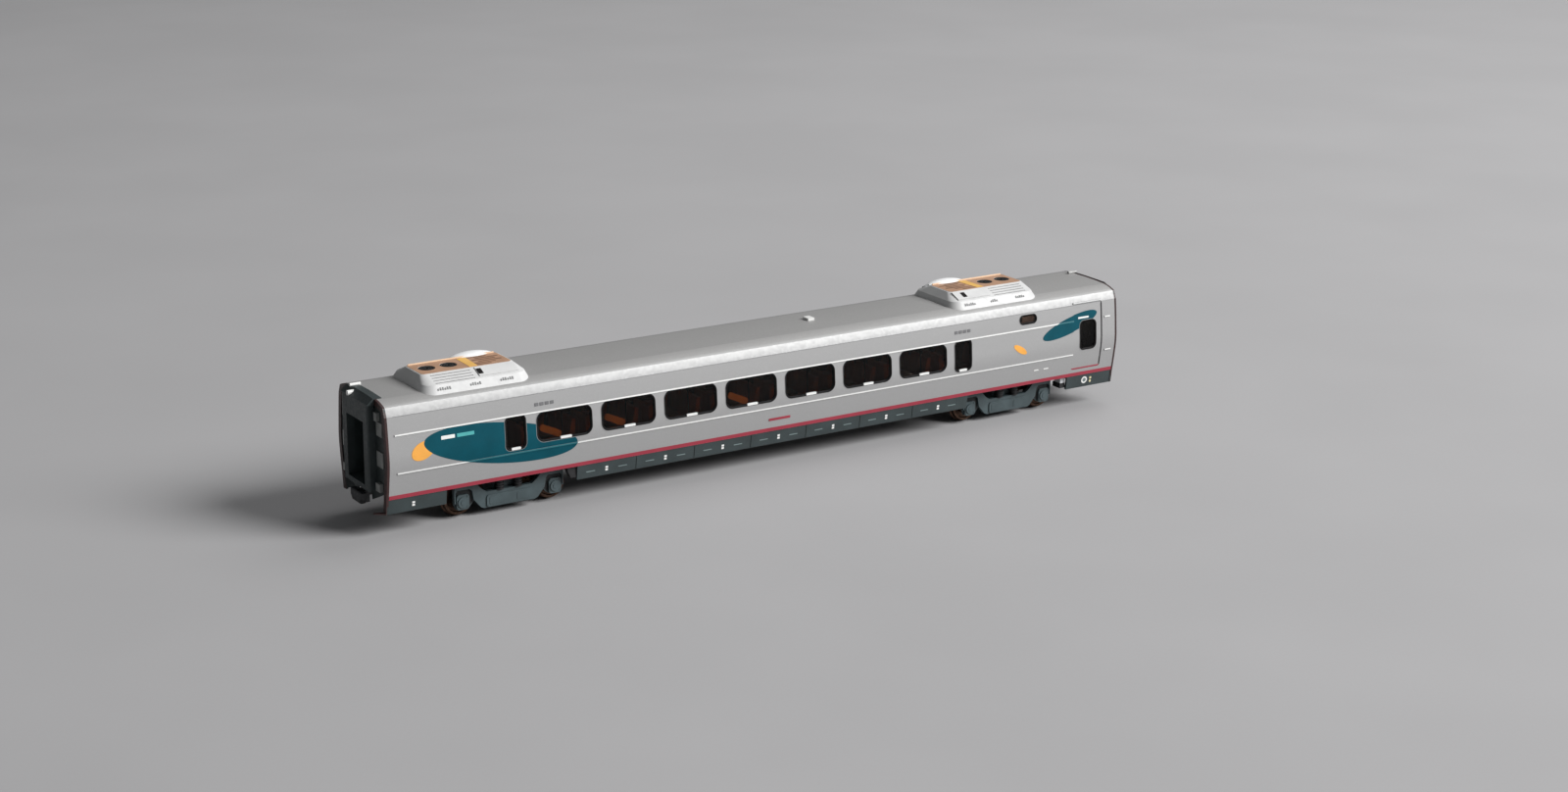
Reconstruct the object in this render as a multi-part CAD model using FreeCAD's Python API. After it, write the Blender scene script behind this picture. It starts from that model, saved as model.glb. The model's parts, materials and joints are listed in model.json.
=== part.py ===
import FreeCAD, Part
import math
import os

# Model passenger coach to 1:87 scale: one STEP file for each separate piece.
# Millimetres. X runs along the coach, Y across it, Z up.
# The origin is midway between the bogies, on the plane that the wheel flanges stand on.
# End a is at -X and end b, with the entrance doors, is at +X.
# "near" is the -Y side and "far" is the +Y side.

V = FreeCAD.Vector
UP = V(0, 0, 1)
ALONG = V(1, 0, 0)
ACROSS = V(0, 1, 0)

# ---------------------------------------------------------------- driving dimensions

# body shell
BODY_HALF = 150.0            # half length of the shell
BODY_BOTTOM = 12.8           # lower edge of the shell
ROOF_TOP = 45.5
WALL = 1.2
SKIRT_BOTTOM = 7.8
FIT = 0.05                   # gap between pieces that plug together

# windows, all on both sides
WINDOW_PITCH = 24.5
WINDOW_FIRST_X = -86.2
WINDOW_COUNT = 7
WINDOW_WIDTH = 20.2
WINDOW_LOW, WINDOW_HIGH = 24.5, 34.1
WINDOW_CORNER = 2.5
GLASS_FACE, GLASS_BACK = 0.3, 2.0    # how far in from the side's surface
NARROW_X = (-104.45, 78.75)
NARROW_WIDTH = 7.0
NARROW_LOW, NARROW_HIGH = 23.3, 34.4
SLOT_X = (105.2, 112.5)
SLOT_Z = (36.9, 39.7)

# entrance door, moulded in the shell as a shallow recess
DOOR_X = (130.2, 143.9)
DOOR_Z = (15.5, 41.0)
DOOR_DEPTH = 0.3
DOOR_GAP, DOOR_GAP_DEPTH = 0.45, 0.9     # slit beside the door's free edge
DOOR_WINDOW_X = (133.7, 140.8)
DOOR_WINDOW_Z = (23.4, 34.0)

# raised ribs along the sides
RIB_HEIGHT = 0.22
RIB_WIDTH = 0.5
UPPER_RIB_Z = 34.65
LOWER_RIB_Z = 21.8
UPPER_RIB_SPANS = ((-147.9, 130.2), (144.9, 147.6))
LOWER_RIB_SPANS = ((-147.4, 130.2), (145.3, 148.3))
CANT_GROOVE_Z = (40.55, 40.75)   # panel line under the sloping edge of the roof
CANT_GROOVE_DEPTH = 0.15

# lugs inside the lower edge of the shell that hold the floor
LUG_X = (-118, -90, 90, 118)
LUG_HALF = 3.0

# floor and running gear
FLOOR_LOW, FLOOR_HIGH = 13.4, 14.9
FLOOR_HALF_WIDTH = 15.9
FLOOR_HALF = 148.4
PIVOT_X = 104.25             # bogie pivots, each side of the middle
WHEELBASE = 34.4
TREAD_R = 5.25
FLANGE_R = 5.95
AXLE_Z = FLANGE_R
BACK_FACE = 7.2              # wheel's inner face
WHEEL_WIDTH = 2.4
AXLE_R = 0.75
JOURNAL_R = 0.5
JOURNAL_START, JOURNAL_END = 10.9, 12.2
BEARING_BORE_R = 0.57
BEARING_R = 1.1
BUSH_R = 1.6

# bogie frames
SIDE_INNER = 11.4            # inner face of a side frame
SIDE_BACK = 12.1             # face of its thin back plate
SIDE_FRONT = 13.0            # face of its arches and beam
BOX_FRONT = 13.4             # face of the axlebox covers
FRAME_HALF = 20.3
FRAME_TOP = 12.0
BOLSTER_TOP = 12.2
BOSS_BOTTOM = 12.4           # lower face of the floor's pivot boss
KING_SHOULDER_R = 1.5
KING_BORE_R = 1.58
THREAD_R = 0.98
THREAD_HOLE_R = 1.0

# skirts
SKIRT_INSET = 0.12
SKIRT_THICK = 0.9
CENTRE_SKIRT_X = (-80.6, 82.5)
END_SKIRT_START = 129.2
UNDERFLOOR_BOXES = (         # start, end and lower face
    (-80, -52, 8.6), (-50, -22, 9.2), (-20, 14, 8.4), (16, 46, 9.0), (48, 80, 8.6),
)
STEP_X = (126.9, 129.0)      # pale blocks beside the end b bogie
STEP_Y = (12.2, 15.9)
STEP_LOW = 10.4

ROOF_TAB = ((22.6, 25.2), (-0.8, 2.6), (ROOF_TOP, ROOF_TOP + 0.9))

# roof units
UNIT_X = {"a": -115.4, "b": 97.8}
UNIT_TOP = 49.7
UNIT_LEVELS = (              # fan end, other end, half width, height and corner radius, from the base up
    (20.0, 20.9, 15.0, 43.6, 5.0),
    (18.2, 19.3, 12.3, 47.3, 3.8),
    (16.8, 16.8, 6.5, UNIT_TOP, 2.0),
)
UNIT_WALL = 1.1
LOUVRE_X = (-14.2, 0.2)      # louvres on the upper slope, from the unit's middle
LOUVRE_STEPS = (1.0, 2.4, 3.8, 5.2)
LOUVRE_WIDTH, LOUVRE_DEPTH = 0.4, 0.35
PANEL_X = (2.0, 16.4)        # raised panel beside the louvres
PANEL_STEPS = (0.5, 5.3)
PANEL_DEPTH, PANEL_PROUD = 0.5, 0.3
FAN_R = 2.9
FAN_OFFSETS = (3.9, 11.8)    # from the unit's middle towards the coach's end
FAN_DEPTH = 1.3
FAN_BLADES = 5
DOME_OFFSET = 8.4            # from the unit's middle towards the coach's middle
DOME_SIZE = (9.8, 4.4, 3.4)  # half length, half width and rise above its own middle
DOME_MIDDLE = (7.9, 47.4)    # across and up

# ends
CAP_FACE = 150.85            # outer face of the end cap's rim
RIM_WIDTH = 2.0
END_WALL_FACE = 150.5
RING_FACE = 153.3
RING_HALF_WIDTH = 9.75
RING_LOW, RING_HIGH = 14.0, 43.2
DOORWAY_HALF_WIDTH = 6.4
DOORWAY_LOW, DOORWAY_HIGH = 15.7, 37.0
DOORWAY_BACK = 145.5
HOOD_BACK, HOOD_FRONT = 148.2, 153.4
HOOD_HALF_WIDTH = 10.3
HOOD_PROUD = 0.2
FOOT_TIP = 154.0
END_PLATES = (               # how far proud, y range and z range of the fittings on each side
    (1.2, (11.3, 13.2), (38.6, 41.4)),
    (0.35, (11.2, 15.2), (33.5, 38.2)),
    (0.35, (11.0, 15.6), (23.1, 28.3)),
    (1.2, (11.3, 14.4), (14.9, 17.6)),
)
ROOF_ROD = (0.6, (-151.4, -147.6), 7.4, 45.75)    # radius, x range, y and z
BROW_ROD = (0.85, (-153.9, -150.9), 3.9, 44.35)

# drawbars
DRAWBAR_PIVOT = 136.0
DRAWBAR_TIP = 154.0
DRAWBAR_LOW, DRAWBAR_HIGH = 10.2, 11.4
DRAWBAR_HEAD_LOW, DRAWBAR_HEAD_HIGH = 8.1, 12.0
DRAWBAR_HEAD_BACK = 151.8    # the wide head stays outside the end wall when it swings
DRAWBAR_NECK_BACK = 149.9
DRAWBAR_NECK_HALF = 2.3
DRAWBAR_EYE_X = 152.3
DRAWBAR_EYE_R = 1.0
SLOT_HALF = 5.3              # slot in the end wall that the drawbar swings in


# ---------------------------------------------------------------- shape helpers

def box(x, y, z):
    """Block between the two values of each pair."""
    return Part.makeBox(x[1] - x[0], y[1] - y[0], z[1] - z[0], V(x[0], y[0], z[0]))


def post(radius, x, y, z):
    """Upright round bar between the two z values."""
    return Part.makeCylinder(radius, z[1] - z[0], V(x, y, z[0]), UP)


def cross_bar(radius, x, z, y):
    """Round bar across the coach between the two y values."""
    return Part.makeCylinder(radius, y[1] - y[0], V(x, y[0], z), ACROSS)


def side_plate(points, y):
    """Plate with an outline in x and z, between the two y values."""
    wire = Part.makePolygon([V(a, y[0], b) for a, b in points + points[:1]])
    return Part.Face(wire).extrude(V(0, y[1] - y[0], 0))


def end_plate(points, x):
    """Plate with an outline in y and z, between the two x values."""
    wire = Part.makePolygon([V(x[0], a, b) for a, b in points + points[:1]])
    return Part.Face(wire).extrude(V(x[1] - x[0], 0, 0))


def flat_plate(points, z):
    """Plate with an outline in x and y, between the two z values."""
    wire = Part.makePolygon([V(a, b, z[0]) for a, b in points + points[:1]])
    return Part.Face(wire).extrude(V(0, 0, z[1] - z[0]))


def rounded_block(x, y, z, radius, direction):
    """Block whose edges that run along direction are rounded."""
    block = box(x, y, z)
    edges = [e for e in block.Edges if abs(e.tangentAt(e.FirstParameter).dot(direction)) > 0.9]
    return block.makeFillet(radius, edges)


def join(shapes):
    """Fuse overlapping shapes into one solid."""
    result = shapes[0].fuse(shapes[1:]) if len(shapes) > 1 else shapes[0]
    return result.removeSplitter()


def biggest(shape):
    """The main solid of a shape that was cut into several."""
    return max(shape.Solids, key=lambda solid: solid.Volume)


def mirrored_y(shape):
    return shape.mirror(V(0, 0, 0), ACROSS)


def mirrored_x(shape):
    return shape.mirror(V(0, 0, 0), ALONG)


def turned(shape):
    """The same shape turned half round, for the other end of the coach."""
    result = shape.copy()
    result.rotate(V(0, 0, 0), UP, 180)
    return result


def moved(shape, x):
    result = shape.copy()
    result.translate(V(x, 0, 0))
    return result


def save(name, *shapes):
    """Write one node: a single solid, or a group of separate solids."""
    solids = [solid for shape in shapes for solid in shape.Solids]
    node = solids[0] if len(solids) == 1 else Part.makeCompound(solids)
    if not node.isValid() or not solids:
        raise ValueError(name + " is not a valid solid")
    node.exportStep("parts/" + name + ".step")
    print(name, len(solids), round(node.Volume, 1))


# ---------------------------------------------------------------- body cross-section

OUTLINE_FLOOR = 3.0          # the cross-section is closed below everything that uses it


def outline_wire():
    """Closed cross-section of body and skirts in the plane x = 0."""
    sole = V(0, 17.3, BODY_BOTTOM)
    skirt = V(0, 16.0, OUTLINE_FLOOR)
    low_side = V(0, 18.6, 21.2)
    high_side = V(0, 18.8, 29.4)
    cant_low = V(0, 17.7, 40.8)
    cant_top = V(0, 16.5, 43.7)
    roof_edge = V(0, 11.0, 45.2)
    half = [
        Part.LineSegment(skirt, sole),
        Part.Arc(sole, V(0, 18.0, 17.0), low_side),
        Part.Arc(low_side, V(0, 19.0, 25.4), high_side),
        Part.Arc(high_side, V(0, 18.33, 35.1), cant_low),
        Part.LineSegment(cant_low, cant_top),
        Part.Arc(cant_top, V(0, 14.0, 44.62), roof_edge),
    ]
    edges = [curve.toShape() for curve in half]
    other = [mirrored_y(edge) for edge in edges]
    crown = Part.Arc(roof_edge, V(0, 0, ROOF_TOP), V(0, -11.0, 45.2)).toShape()
    base = Part.LineSegment(skirt, V(0, -16.0, OUTLINE_FLOOR)).toShape()
    return Part.Wire(Part.__sortEdges__(edges + [crown] + other + [base]))


OUTLINE = outline_wire()


def section(inset, x, z):
    """Solid with the body's cross-section, moved in by inset, kept between the two z values."""
    wire = OUTLINE.makeOffset2D(-inset) if inset else OUTLINE
    face = Part.Face(wire)
    face.translate(V(x[0], 0, 0))
    return face.extrude(V(x[1] - x[0], 0, 0)).common(box(x, (-30, 30), z))


def skin(outer, inner, x, z):
    """Layer of the body's cross-section between two insets."""
    return section(outer, x, z).cut(section(inner, (x[0] - 1, x[1] + 1), (z[0] - 1, z[1] + 1)))


# ---------------------------------------------------------------- body shell

def window_list():
    """x range, z range and corner radius of the windows with glass in the side strip."""
    wide = [WINDOW_FIRST_X + WINDOW_PITCH * i for i in range(WINDOW_COUNT)]
    half = WINDOW_WIDTH / 2
    narrow = NARROW_WIDTH / 2
    rows = [((x - half, x + half), (WINDOW_LOW, WINDOW_HIGH), WINDOW_CORNER) for x in wide]
    rows += [((x - narrow, x + narrow), (NARROW_LOW, NARROW_HIGH), 1.6) for x in NARROW_X]
    return rows


DOOR_WINDOWS = [(DOOR_WINDOW_X, DOOR_WINDOW_Z, 1.6), (SLOT_X, SLOT_Z, 1.35)]


def pane(window, margin, y):
    """Rounded block through a window opening, smaller all round by margin."""
    (x0, x1), (z0, z1), corner = window
    return rounded_block((x0 + margin, x1 - margin), y, (z0 + margin, z1 - margin), corner - margin, ACROSS)


def body_shell():
    shell = section(0, (-BODY_HALF, BODY_HALF), (BODY_BOTTOM, 60))
    shell = shell.cut(section(WALL, (-BODY_HALF - 1, BODY_HALF + 1), (BODY_BOTTOM - 5, 60)))
    ribs = []
    for z, spans in ((UPPER_RIB_Z, UPPER_RIB_SPANS), (LOWER_RIB_Z, LOWER_RIB_SPANS)):
        for span in spans:
            ribs.append(skin(-RIB_HEIGHT, WALL / 2, span, (z - RIB_WIDTH / 2, z + RIB_WIDTH / 2)))
    ledge = (DOOR_X[0], DOOR_X[1] - 0.4), (DOOR_Z[1] + 0.1, DOOR_Z[1] + 0.6)
    ribs.append(skin(-1.5 * RIB_HEIGHT, WALL / 2, *ledge))
    shell = join([shell] + ribs)
    openings = [pane(window, 0, (-30, 30)) for window in window_list() + DOOR_WINDOWS]
    recess = skin(-1, DOOR_DEPTH, DOOR_X, DOOR_Z)
    recess = recess.common(rounded_block(DOOR_X, (-30, 30), DOOR_Z, 1.0, ACROSS))
    edge_gap = skin(-1, DOOR_GAP_DEPTH, (DOOR_X[1] - DOOR_GAP, DOOR_X[1]), (DOOR_Z[0] + 1, DOOR_Z[1] - 1))
    groove = skin(-1, CANT_GROOVE_DEPTH, (-BODY_HALF + 2, DOOR_X[0]), CANT_GROOVE_Z)
    lugs = []
    for x in LUG_X:
        for side in (-1, 1):
            y = sorted((side * 15.5, side * 16.6))
            lugs.append(box((x - LUG_HALF, x + LUG_HALF), y, (BODY_BOTTOM, FLOOR_LOW - FIT)))
    return join([shell.cut(openings + [recess, edge_gap, groove])] + lugs)


def glazing(windows, x, z):
    """Clear strip inside each wall, with panes that stand in the openings."""
    strip = skin(WALL + FIT, GLASS_BACK, x, z)
    panes = [pane(window, FIT, (-30, 30)) for window in windows]
    layer = skin(GLASS_FACE, GLASS_BACK - 0.1, x, z)
    return join([strip] + [layer.common(p) for p in panes])


def door_glazing():
    """Clear strip behind the door window and the slot window above the wall's middle."""
    start, low, high = SLOT_X[0] - 1.7, DOOR_WINDOW_Z[0] - 1.4, SLOT_Z[1] + 0.8
    door = skin(WALL + FIT, GLASS_BACK, (DOOR_X[0] + 1, DOOR_X[1] - 1), (low, high))
    band = skin(WALL + FIT, GLASS_BACK, (start, DOOR_X[0] + 1.5), (SLOT_Z[0] - 1.3, high))
    layer = skin(GLASS_FACE, GLASS_BACK - 0.1, (start, DOOR_X[1]), (low, high))
    door_layer = skin(DOOR_DEPTH + GLASS_FACE, GLASS_BACK - 0.1, DOOR_X, (low, high))
    door_pane = pane(DOOR_WINDOWS[0], FIT, (-30, 30)).common(door_layer)
    slot_pane = pane(DOOR_WINDOWS[1], FIT, (-30, 30)).common(layer)
    return join([door, band, door_pane, slot_pane])


def near_and_far(shape):
    """Split a pair that was made on both sides at once."""
    near = shape.common(box((-200, 200), (-30, 0), (0, 60)))
    far = shape.common(box((-200, 200), (0, 30), (0, 60)))
    return near, far


# ---------------------------------------------------------------- roof units

def rounded_rectangle(x, half_width, z, radius):
    """Closed wire of a rounded rectangle in a level plane."""
    block = rounded_block(x, (-half_width, half_width), (z, z + 1), radius, UP)
    face = min(block.Faces, key=lambda f: f.CenterOfMass.z)
    return face.OuterWire


def unit_block(shrink):
    """Block with a steep lower and a gentle upper slope, smaller all round by shrink."""
    wires = []
    base = UNIT_LEVELS[0][3]
    for fan_end, other_end, half_width, z, corner in UNIT_LEVELS:
        level = z - shrink if z > base else z
        wires.append(rounded_rectangle((shrink - fan_end, other_end - shrink), half_width - shrink, level,
                                       corner))
    return join([Part.makeLoft([low, high], True, True) for low, high in zip(wires, wires[1:])])


def slope_box(x, distance, depth, proud, side):
    """Thin block on the upper slope of a long side, between two distances down from the deck edge."""
    low_width, low_z = UNIT_LEVELS[1][2:4]
    deck_width = UNIT_LEVELS[2][2]
    angle = math.degrees(math.atan2(UNIT_TOP - low_z, low_width - deck_width))
    block = box(x, distance, (-depth, proud))
    block.rotate(V(0, 0, 0), ALONG, -angle)
    block.translate(V(0, deck_width, UNIT_TOP))
    return block if side > 0 else mirrored_y(block)


def raised_panel(side):
    return slope_box(PANEL_X, PANEL_STEPS, PANEL_DEPTH, PANEL_PROUD, side)


def roof_unit():
    """Unit with its fans towards -X, about its own middle."""
    unit = unit_block(0)
    top_edges = [e for e in unit.Edges if e.BoundBox.ZMin > UNIT_TOP - 0.01]
    unit = unit.makeFillet(0.4, top_edges)
    panels = [raised_panel(side) for side in (-1, 1)]
    unit = join([unit] + panels).cut(section(0, (-30, 30), (40, 60)))
    hollow = unit_block(UNIT_WALL).cut(section(-0.01, (-30, 30), (40, 60)))
    recesses = [post(FAN_R, -x, 0, (UNIT_TOP - FAN_DEPTH, 60)) for x in FAN_OFFSETS]
    floors = [post(FAN_R + 0.5, -x, 0, (UNIT_TOP - FAN_DEPTH - 0.7, UNIT_TOP - 0.2)) for x in FAN_OFFSETS]
    unit = join([unit.cut(hollow)] + floors)
    louvres = [slope_box(LOUVRE_X, (step, step + LOUVRE_WIDTH), LOUVRE_DEPTH, 1, side)
               for side in (-1, 1) for step in LOUVRE_STEPS]
    return unit.cut(recesses + louvres)


def roof_fan(x):
    """Fan of five blades on a hub, in its recess."""
    low = UNIT_TOP - FAN_DEPTH
    hub = post(0.8, x, 0, (low, UNIT_TOP - 0.35))
    blades = []
    for i in range(FAN_BLADES):
        blade = box((0.5, FAN_R - 0.15), (-0.75, 0.75), (-0.12, 0.12))
        blade.rotate(V(0, 0, 0), ALONG, 28)
        blade.rotate(V(0, 0, 0), UP, 360 / FAN_BLADES * i + 15)
        blade.translate(V(x, 0, low + 0.75))
        blades.append(blade)
    return join([hub] + blades)


def roof_dome():
    """Low dome that sits over the far edge of a unit's deck, about the unit's middle."""
    dome = Part.makeSphere(1.0)
    matrix = FreeCAD.Matrix()
    matrix.scale(*DOME_SIZE)
    dome = dome.transformGeometry(matrix)
    dome.translate(V(DOME_OFFSET, *DOME_MIDDLE))
    return biggest(dome.cut([unit_block(0), raised_panel(1), box((-30, 30), (0, 30), (40, 46.6))]))


# ---------------------------------------------------------------- ends, all made for end a

def end_cap():
    """Rim, end wall with doorway, locating frame and the vestibule box behind the doorway."""
    rim = skin(0, RIM_WIDTH, (-CAP_FACE, -BODY_HALF), (SKIRT_BOTTOM, 60))
    wall = section(RIM_WIDTH - 0.3, (-END_WALL_FACE, -BODY_HALF), (9, 60))
    near_half = [(-30, 14.9), (-15.4, 14.4), (-SLOT_HALF - 0.3, 10.0), (-SLOT_HALF, 12.5)]
    far_half = [(-y, z) for y, z in reversed(near_half)]
    wall = wall.cut(end_plate(near_half + far_half + [(30, 0), (-30, 0)], (-160, -140)))
    plug = skin(WALL + FIT, WALL + 1.2, (-BODY_HALF - 0.2, -BODY_HALF + 1.2), (15.2, 60))
    hall = box((-BODY_HALF - 0.3, -DOORWAY_BACK), (-DOORWAY_HALF_WIDTH - 0.8, DOORWAY_HALF_WIDTH + 0.8),
               (FLOOR_HIGH + FIT, DOORWAY_HIGH + 0.8))
    way = box((-160, -DOORWAY_BACK + 1), (-DOORWAY_HALF_WIDTH, DOORWAY_HALF_WIDTH),
              (DOORWAY_LOW, DOORWAY_HIGH))
    foot = [(-BODY_HALF, -16.6), (-CAP_FACE, -16.7), (-FOOT_TIP, -14.3), (-FOOT_TIP, -13.6),
            (-CAP_FACE, -15.2), (-BODY_HALF, -15.0)]
    foot = flat_plate(foot, (SKIRT_BOTTOM, SKIRT_BOTTOM + 0.5))
    return join([rim, wall, plug, hall, foot]).cut(way)


def gangway_ring():
    """Rigid corridor connection: a deep rectangular ring with rounded front edges."""
    ring = box((-RING_FACE, -CAP_FACE), (-RING_HALF_WIDTH, RING_HALF_WIDTH), (RING_LOW, RING_HIGH))
    foot = box((-CAP_FACE, -END_WALL_FACE), (-RING_HALF_WIDTH, RING_HALF_WIDTH), (RING_LOW, RING_HIGH - 1.2))
    way = box((-160, -140), (-DOORWAY_HALF_WIDTH, DOORWAY_HALF_WIDTH), (DOORWAY_LOW, DOORWAY_HIGH))
    front = [e for e in ring.Edges if e.BoundBox.XMax < -RING_FACE + 0.01 and e.BoundBox.ZLength > 10]
    return join([ring.makeFillet(0.6, front), foot]).cut(way)


def gangway_hood(saddle):
    """Brow over the ring that slopes down outwards, with or without a saddle over the end of the roof."""
    brow = section(-HOOD_PROUD, (-HOOD_FRONT, -CAP_FACE - FIT), (RING_HIGH + FIT, 60))
    slope = [(-CAP_FACE, ROOF_TOP + HOOD_PROUD + 0.05), (-HOOD_FRONT, RING_HIGH + 0.4),
             (-HOOD_FRONT - 5, RING_HIGH + 0.4), (-HOOD_FRONT - 5, 60), (-CAP_FACE, 60)]
    brow = brow.cut(side_plate(slope, (-30, 30)))
    parts = [brow]
    if saddle:
        parts.append(skin(-HOOD_PROUD, 0, (-CAP_FACE - 0.2, -HOOD_BACK), (RING_HIGH + FIT, 60)))
    keep = box((-160, -140), (-HOOD_HALF_WIDTH, HOOD_HALF_WIDTH), (RING_HIGH + FIT, 60))
    return join(parts).common(keep)


def end_door():
    """Door leaf at the back of the vestibule box, with a raised window frame and a handle."""
    leaf = box((-DOORWAY_BACK, -DOORWAY_BACK + 0.8), (-7.1, 7.1), (FLOOR_HIGH + 0.1, DOORWAY_HIGH + 0.7))
    frame = rounded_block((-DOORWAY_BACK - 0.3, -DOORWAY_BACK), (-3.3, 3.3), (24.5, 34.0), 1.2, ALONG)
    light = rounded_block((-DOORWAY_BACK - 1, -DOORWAY_BACK + 0.1), (-2.6, 2.6), (25.2, 33.3), 0.9, ALONG)
    handle = box((-DOORWAY_BACK - 0.6, -DOORWAY_BACK), (-5.0, -4.4), (22.0, 26.5))
    return join([leaf, frame, handle]).cut(light)


def end_fittings():
    """Door catches and plates fixed on the end wall beside the ring."""
    pieces = []
    for side in (-1, 1):
        for proud, y, z in END_PLATES:
            y = sorted((side * y[0], side * y[1]))
            pieces.append(box((-END_WALL_FACE - proud, -END_WALL_FACE), y, z))
    return pieces


def roof_clips(rods, hood):
    """Small bright rods that lie on the end of the roof or on the brow, shaped to what is under them."""
    result = []
    for radius, x, y, z in rods:
        rod = Part.makeCylinder(radius, x[1] - x[0], V(x[0], y, z), ALONG)
        result.append(biggest(rod.cut([section(0, (-CAP_FACE, -140), (40, 60)), hood])))
    return result


# ---------------------------------------------------------------- floor, skirts and underside

def chassis_floor():
    """Floor with a boss for each bogie pivot and each drawbar pivot."""
    floor = box((-FLOOR_HALF, FLOOR_HALF), (-FLOOR_HALF_WIDTH, FLOOR_HALF_WIDTH), (FLOOR_LOW, FLOOR_HIGH))
    bosses, holes = [], []
    for side in (-1, 1):
        bosses.append(post(4.0, side * PIVOT_X, 0, (BOSS_BOTTOM, FLOOR_LOW + 0.5)))
        bosses.append(post(2.6, side * DRAWBAR_PIVOT, 0, (DRAWBAR_HIGH + 0.2, FLOOR_LOW + 0.5)))
        holes.append(post(THREAD_HOLE_R, side * PIVOT_X, 0, (BOSS_BOTTOM - 1, FLOOR_HIGH - 0.2)))
        holes.append(post(0.8, side * DRAWBAR_PIVOT, 0, (DRAWBAR_HIGH - 1, FLOOR_HIGH - 0.2)))
    return join([floor] + bosses).cut(holes)


def skirt(x):
    """Skirt panels on both sides with a flange that is glued under the floor."""
    panel = skin(SKIRT_INSET, SKIRT_INSET + SKIRT_THICK, x, (SKIRT_BOTTOM, BODY_BOTTOM - 0.05))
    flanges = []
    for side in (-1, 1):
        profile = [(13.9, FLOOR_LOW), (15.8, FLOOR_LOW), (15.8, 12.75), (16.8, 12.75), (16.6, 11.9),
                   (15.6, 11.9), (13.9, 12.7)]
        flanges.append(end_plate([(side * y, z) for y, z in profile], x))
    return join([panel] + flanges)


def underfloor_boxes():
    """Equipment boxes hung under the floor between the centre skirts."""
    boxes = []
    for x0, x1, low in UNDERFLOOR_BOXES:
        shell = rounded_block((x0, x1), (-13.6, 13.6), (low, FLOOR_LOW), 1.0, UP)
        ribs = [box((x0 + 4 * i, x0 + 4 * i + 0.8), (-11, 11), (low - 0.4, low + 0.5))
                for i in range(1, int((x1 - x0) / 4))]
        hollow = box((x0 + 1.2, x1 - 1.2), (-12.4, 12.4), (low + 1.0, FLOOR_LOW + 1))
        boxes.append(join([shell] + ribs).cut(hollow))
    return boxes


def side_blocks():
    """Black blocks beside the bogies: one at the end of each centre skirt, one under each pale block."""
    end = CENTRE_SKIRT_X[0]
    outline = [(end - 0.1, 8.8), (end - 0.1, FLOOR_LOW), (end - 3.4, FLOOR_LOW), (end - 3.4, 11.4),
               (end - 2.2, 8.8)]
    wedge = side_plate(outline, (-16.4, -14.3))
    wedge = wedge.cut(box((end - 4, end), (-17, -15.8), (BODY_BOTTOM - 0.05, FLOOR_LOW + 1)))
    pad = box((STEP_X[0] - 0.2, STEP_X[1] + 0.1), (-STEP_Y[1], -STEP_Y[0] + 0.6), (8.5, STEP_LOW - 0.05))
    leg = box((STEP_X[0] + 0.5, STEP_X[1] - 0.6), (-STEP_Y[0] + 0.05, -STEP_Y[0] + 0.6), (8.5, FLOOR_LOW))
    near = [wedge, join([pad, leg])]
    return near + [mirrored_y(piece) for piece in near]


def step_blocks():
    """Pale equipment blocks beside the entrance end's bogie, one on each side."""
    near = box(STEP_X, (-STEP_Y[1], -STEP_Y[0]), (STEP_LOW, FLOOR_LOW))
    return [near, mirrored_y(near)]


# ---------------------------------------------------------------- interior

WEIGHT = ((-78, 78), (-11, 11), (FLOOR_HIGH, 16.3))
BOARD = ((-88, 66), (-4, 4), (42.6, 43.4))
LAMP_HALF = 1.2
TRAY_X = (-128, 124)
TRAY_LOW, CABIN_FLOOR, TRAY_HIGH = 16.4, 17.4, 21.5
PARTITION_X = (-110.5, 101.0)


def interior_tray():
    """Moulded floor of the cabin with low side walls."""
    floor = box(TRAY_X, (-15.2, 15.2), (TRAY_LOW, CABIN_FLOOR))
    walls = [box(TRAY_X, y, (TRAY_LOW, TRAY_HIGH)) for y in ((-15.2, -14.4), (14.4, 15.2))]
    return join([floor] + walls)


SEAT_PITCH = 12.25
SEAT_ROWS = 16
SEAT_START = -96.0


def seat(x, y, facing):
    """Seat block: cushion, sloped back and headrest."""
    outline = [(-3.6, CABIN_FLOOR), (2.8, CABIN_FLOOR), (3.2, 21.6), (-1.4, 21.2), (-2.9, 28.6), (-4.3, 28.6),
               (-3.9, 21)]
    return side_plate([(x + facing * a, b) for a, b in outline], y)


def seats():
    """Two seats on the near side of the aisle and one on the far side, in facing pairs."""
    result = []
    for row in range(SEAT_ROWS):
        x = SEAT_START + SEAT_PITCH * row
        facing = 1 if row % 2 == 0 else -1
        for y in ((-13.6, -8.6), (-8.2, -3.2), (8.4, 13.6)):
            result.append(seat(x, y, facing))
    return result


def tables():
    """Table between each facing pair of seats, on one leg."""
    result = []
    for pair in range(SEAT_ROWS // 2):
        x = SEAT_START + SEAT_PITCH * (2 * pair + 0.5)
        for y, leg in (((-13.8, -4.2), -9.0), ((9.0, 13.8), 11.4)):
            top = rounded_block((x - 1.9, x + 1.9), y, (23.6, 24.2), 0.5, UP)
            result.append(join([top, post(0.5, x, leg, (CABIN_FLOOR, 23.8))]))
    return result


def partitions():
    """Cross walls at each end of the cabin with the aisle left open."""
    spans = ((-14.3, -2.6), (2.6, 14.3))
    return [box((x, x + 1.0), y, (CABIN_FLOOR, 40.6)) for x in PARTITION_X for y in spans]


# ---------------------------------------------------------------- bogies, about their own pivot

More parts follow.
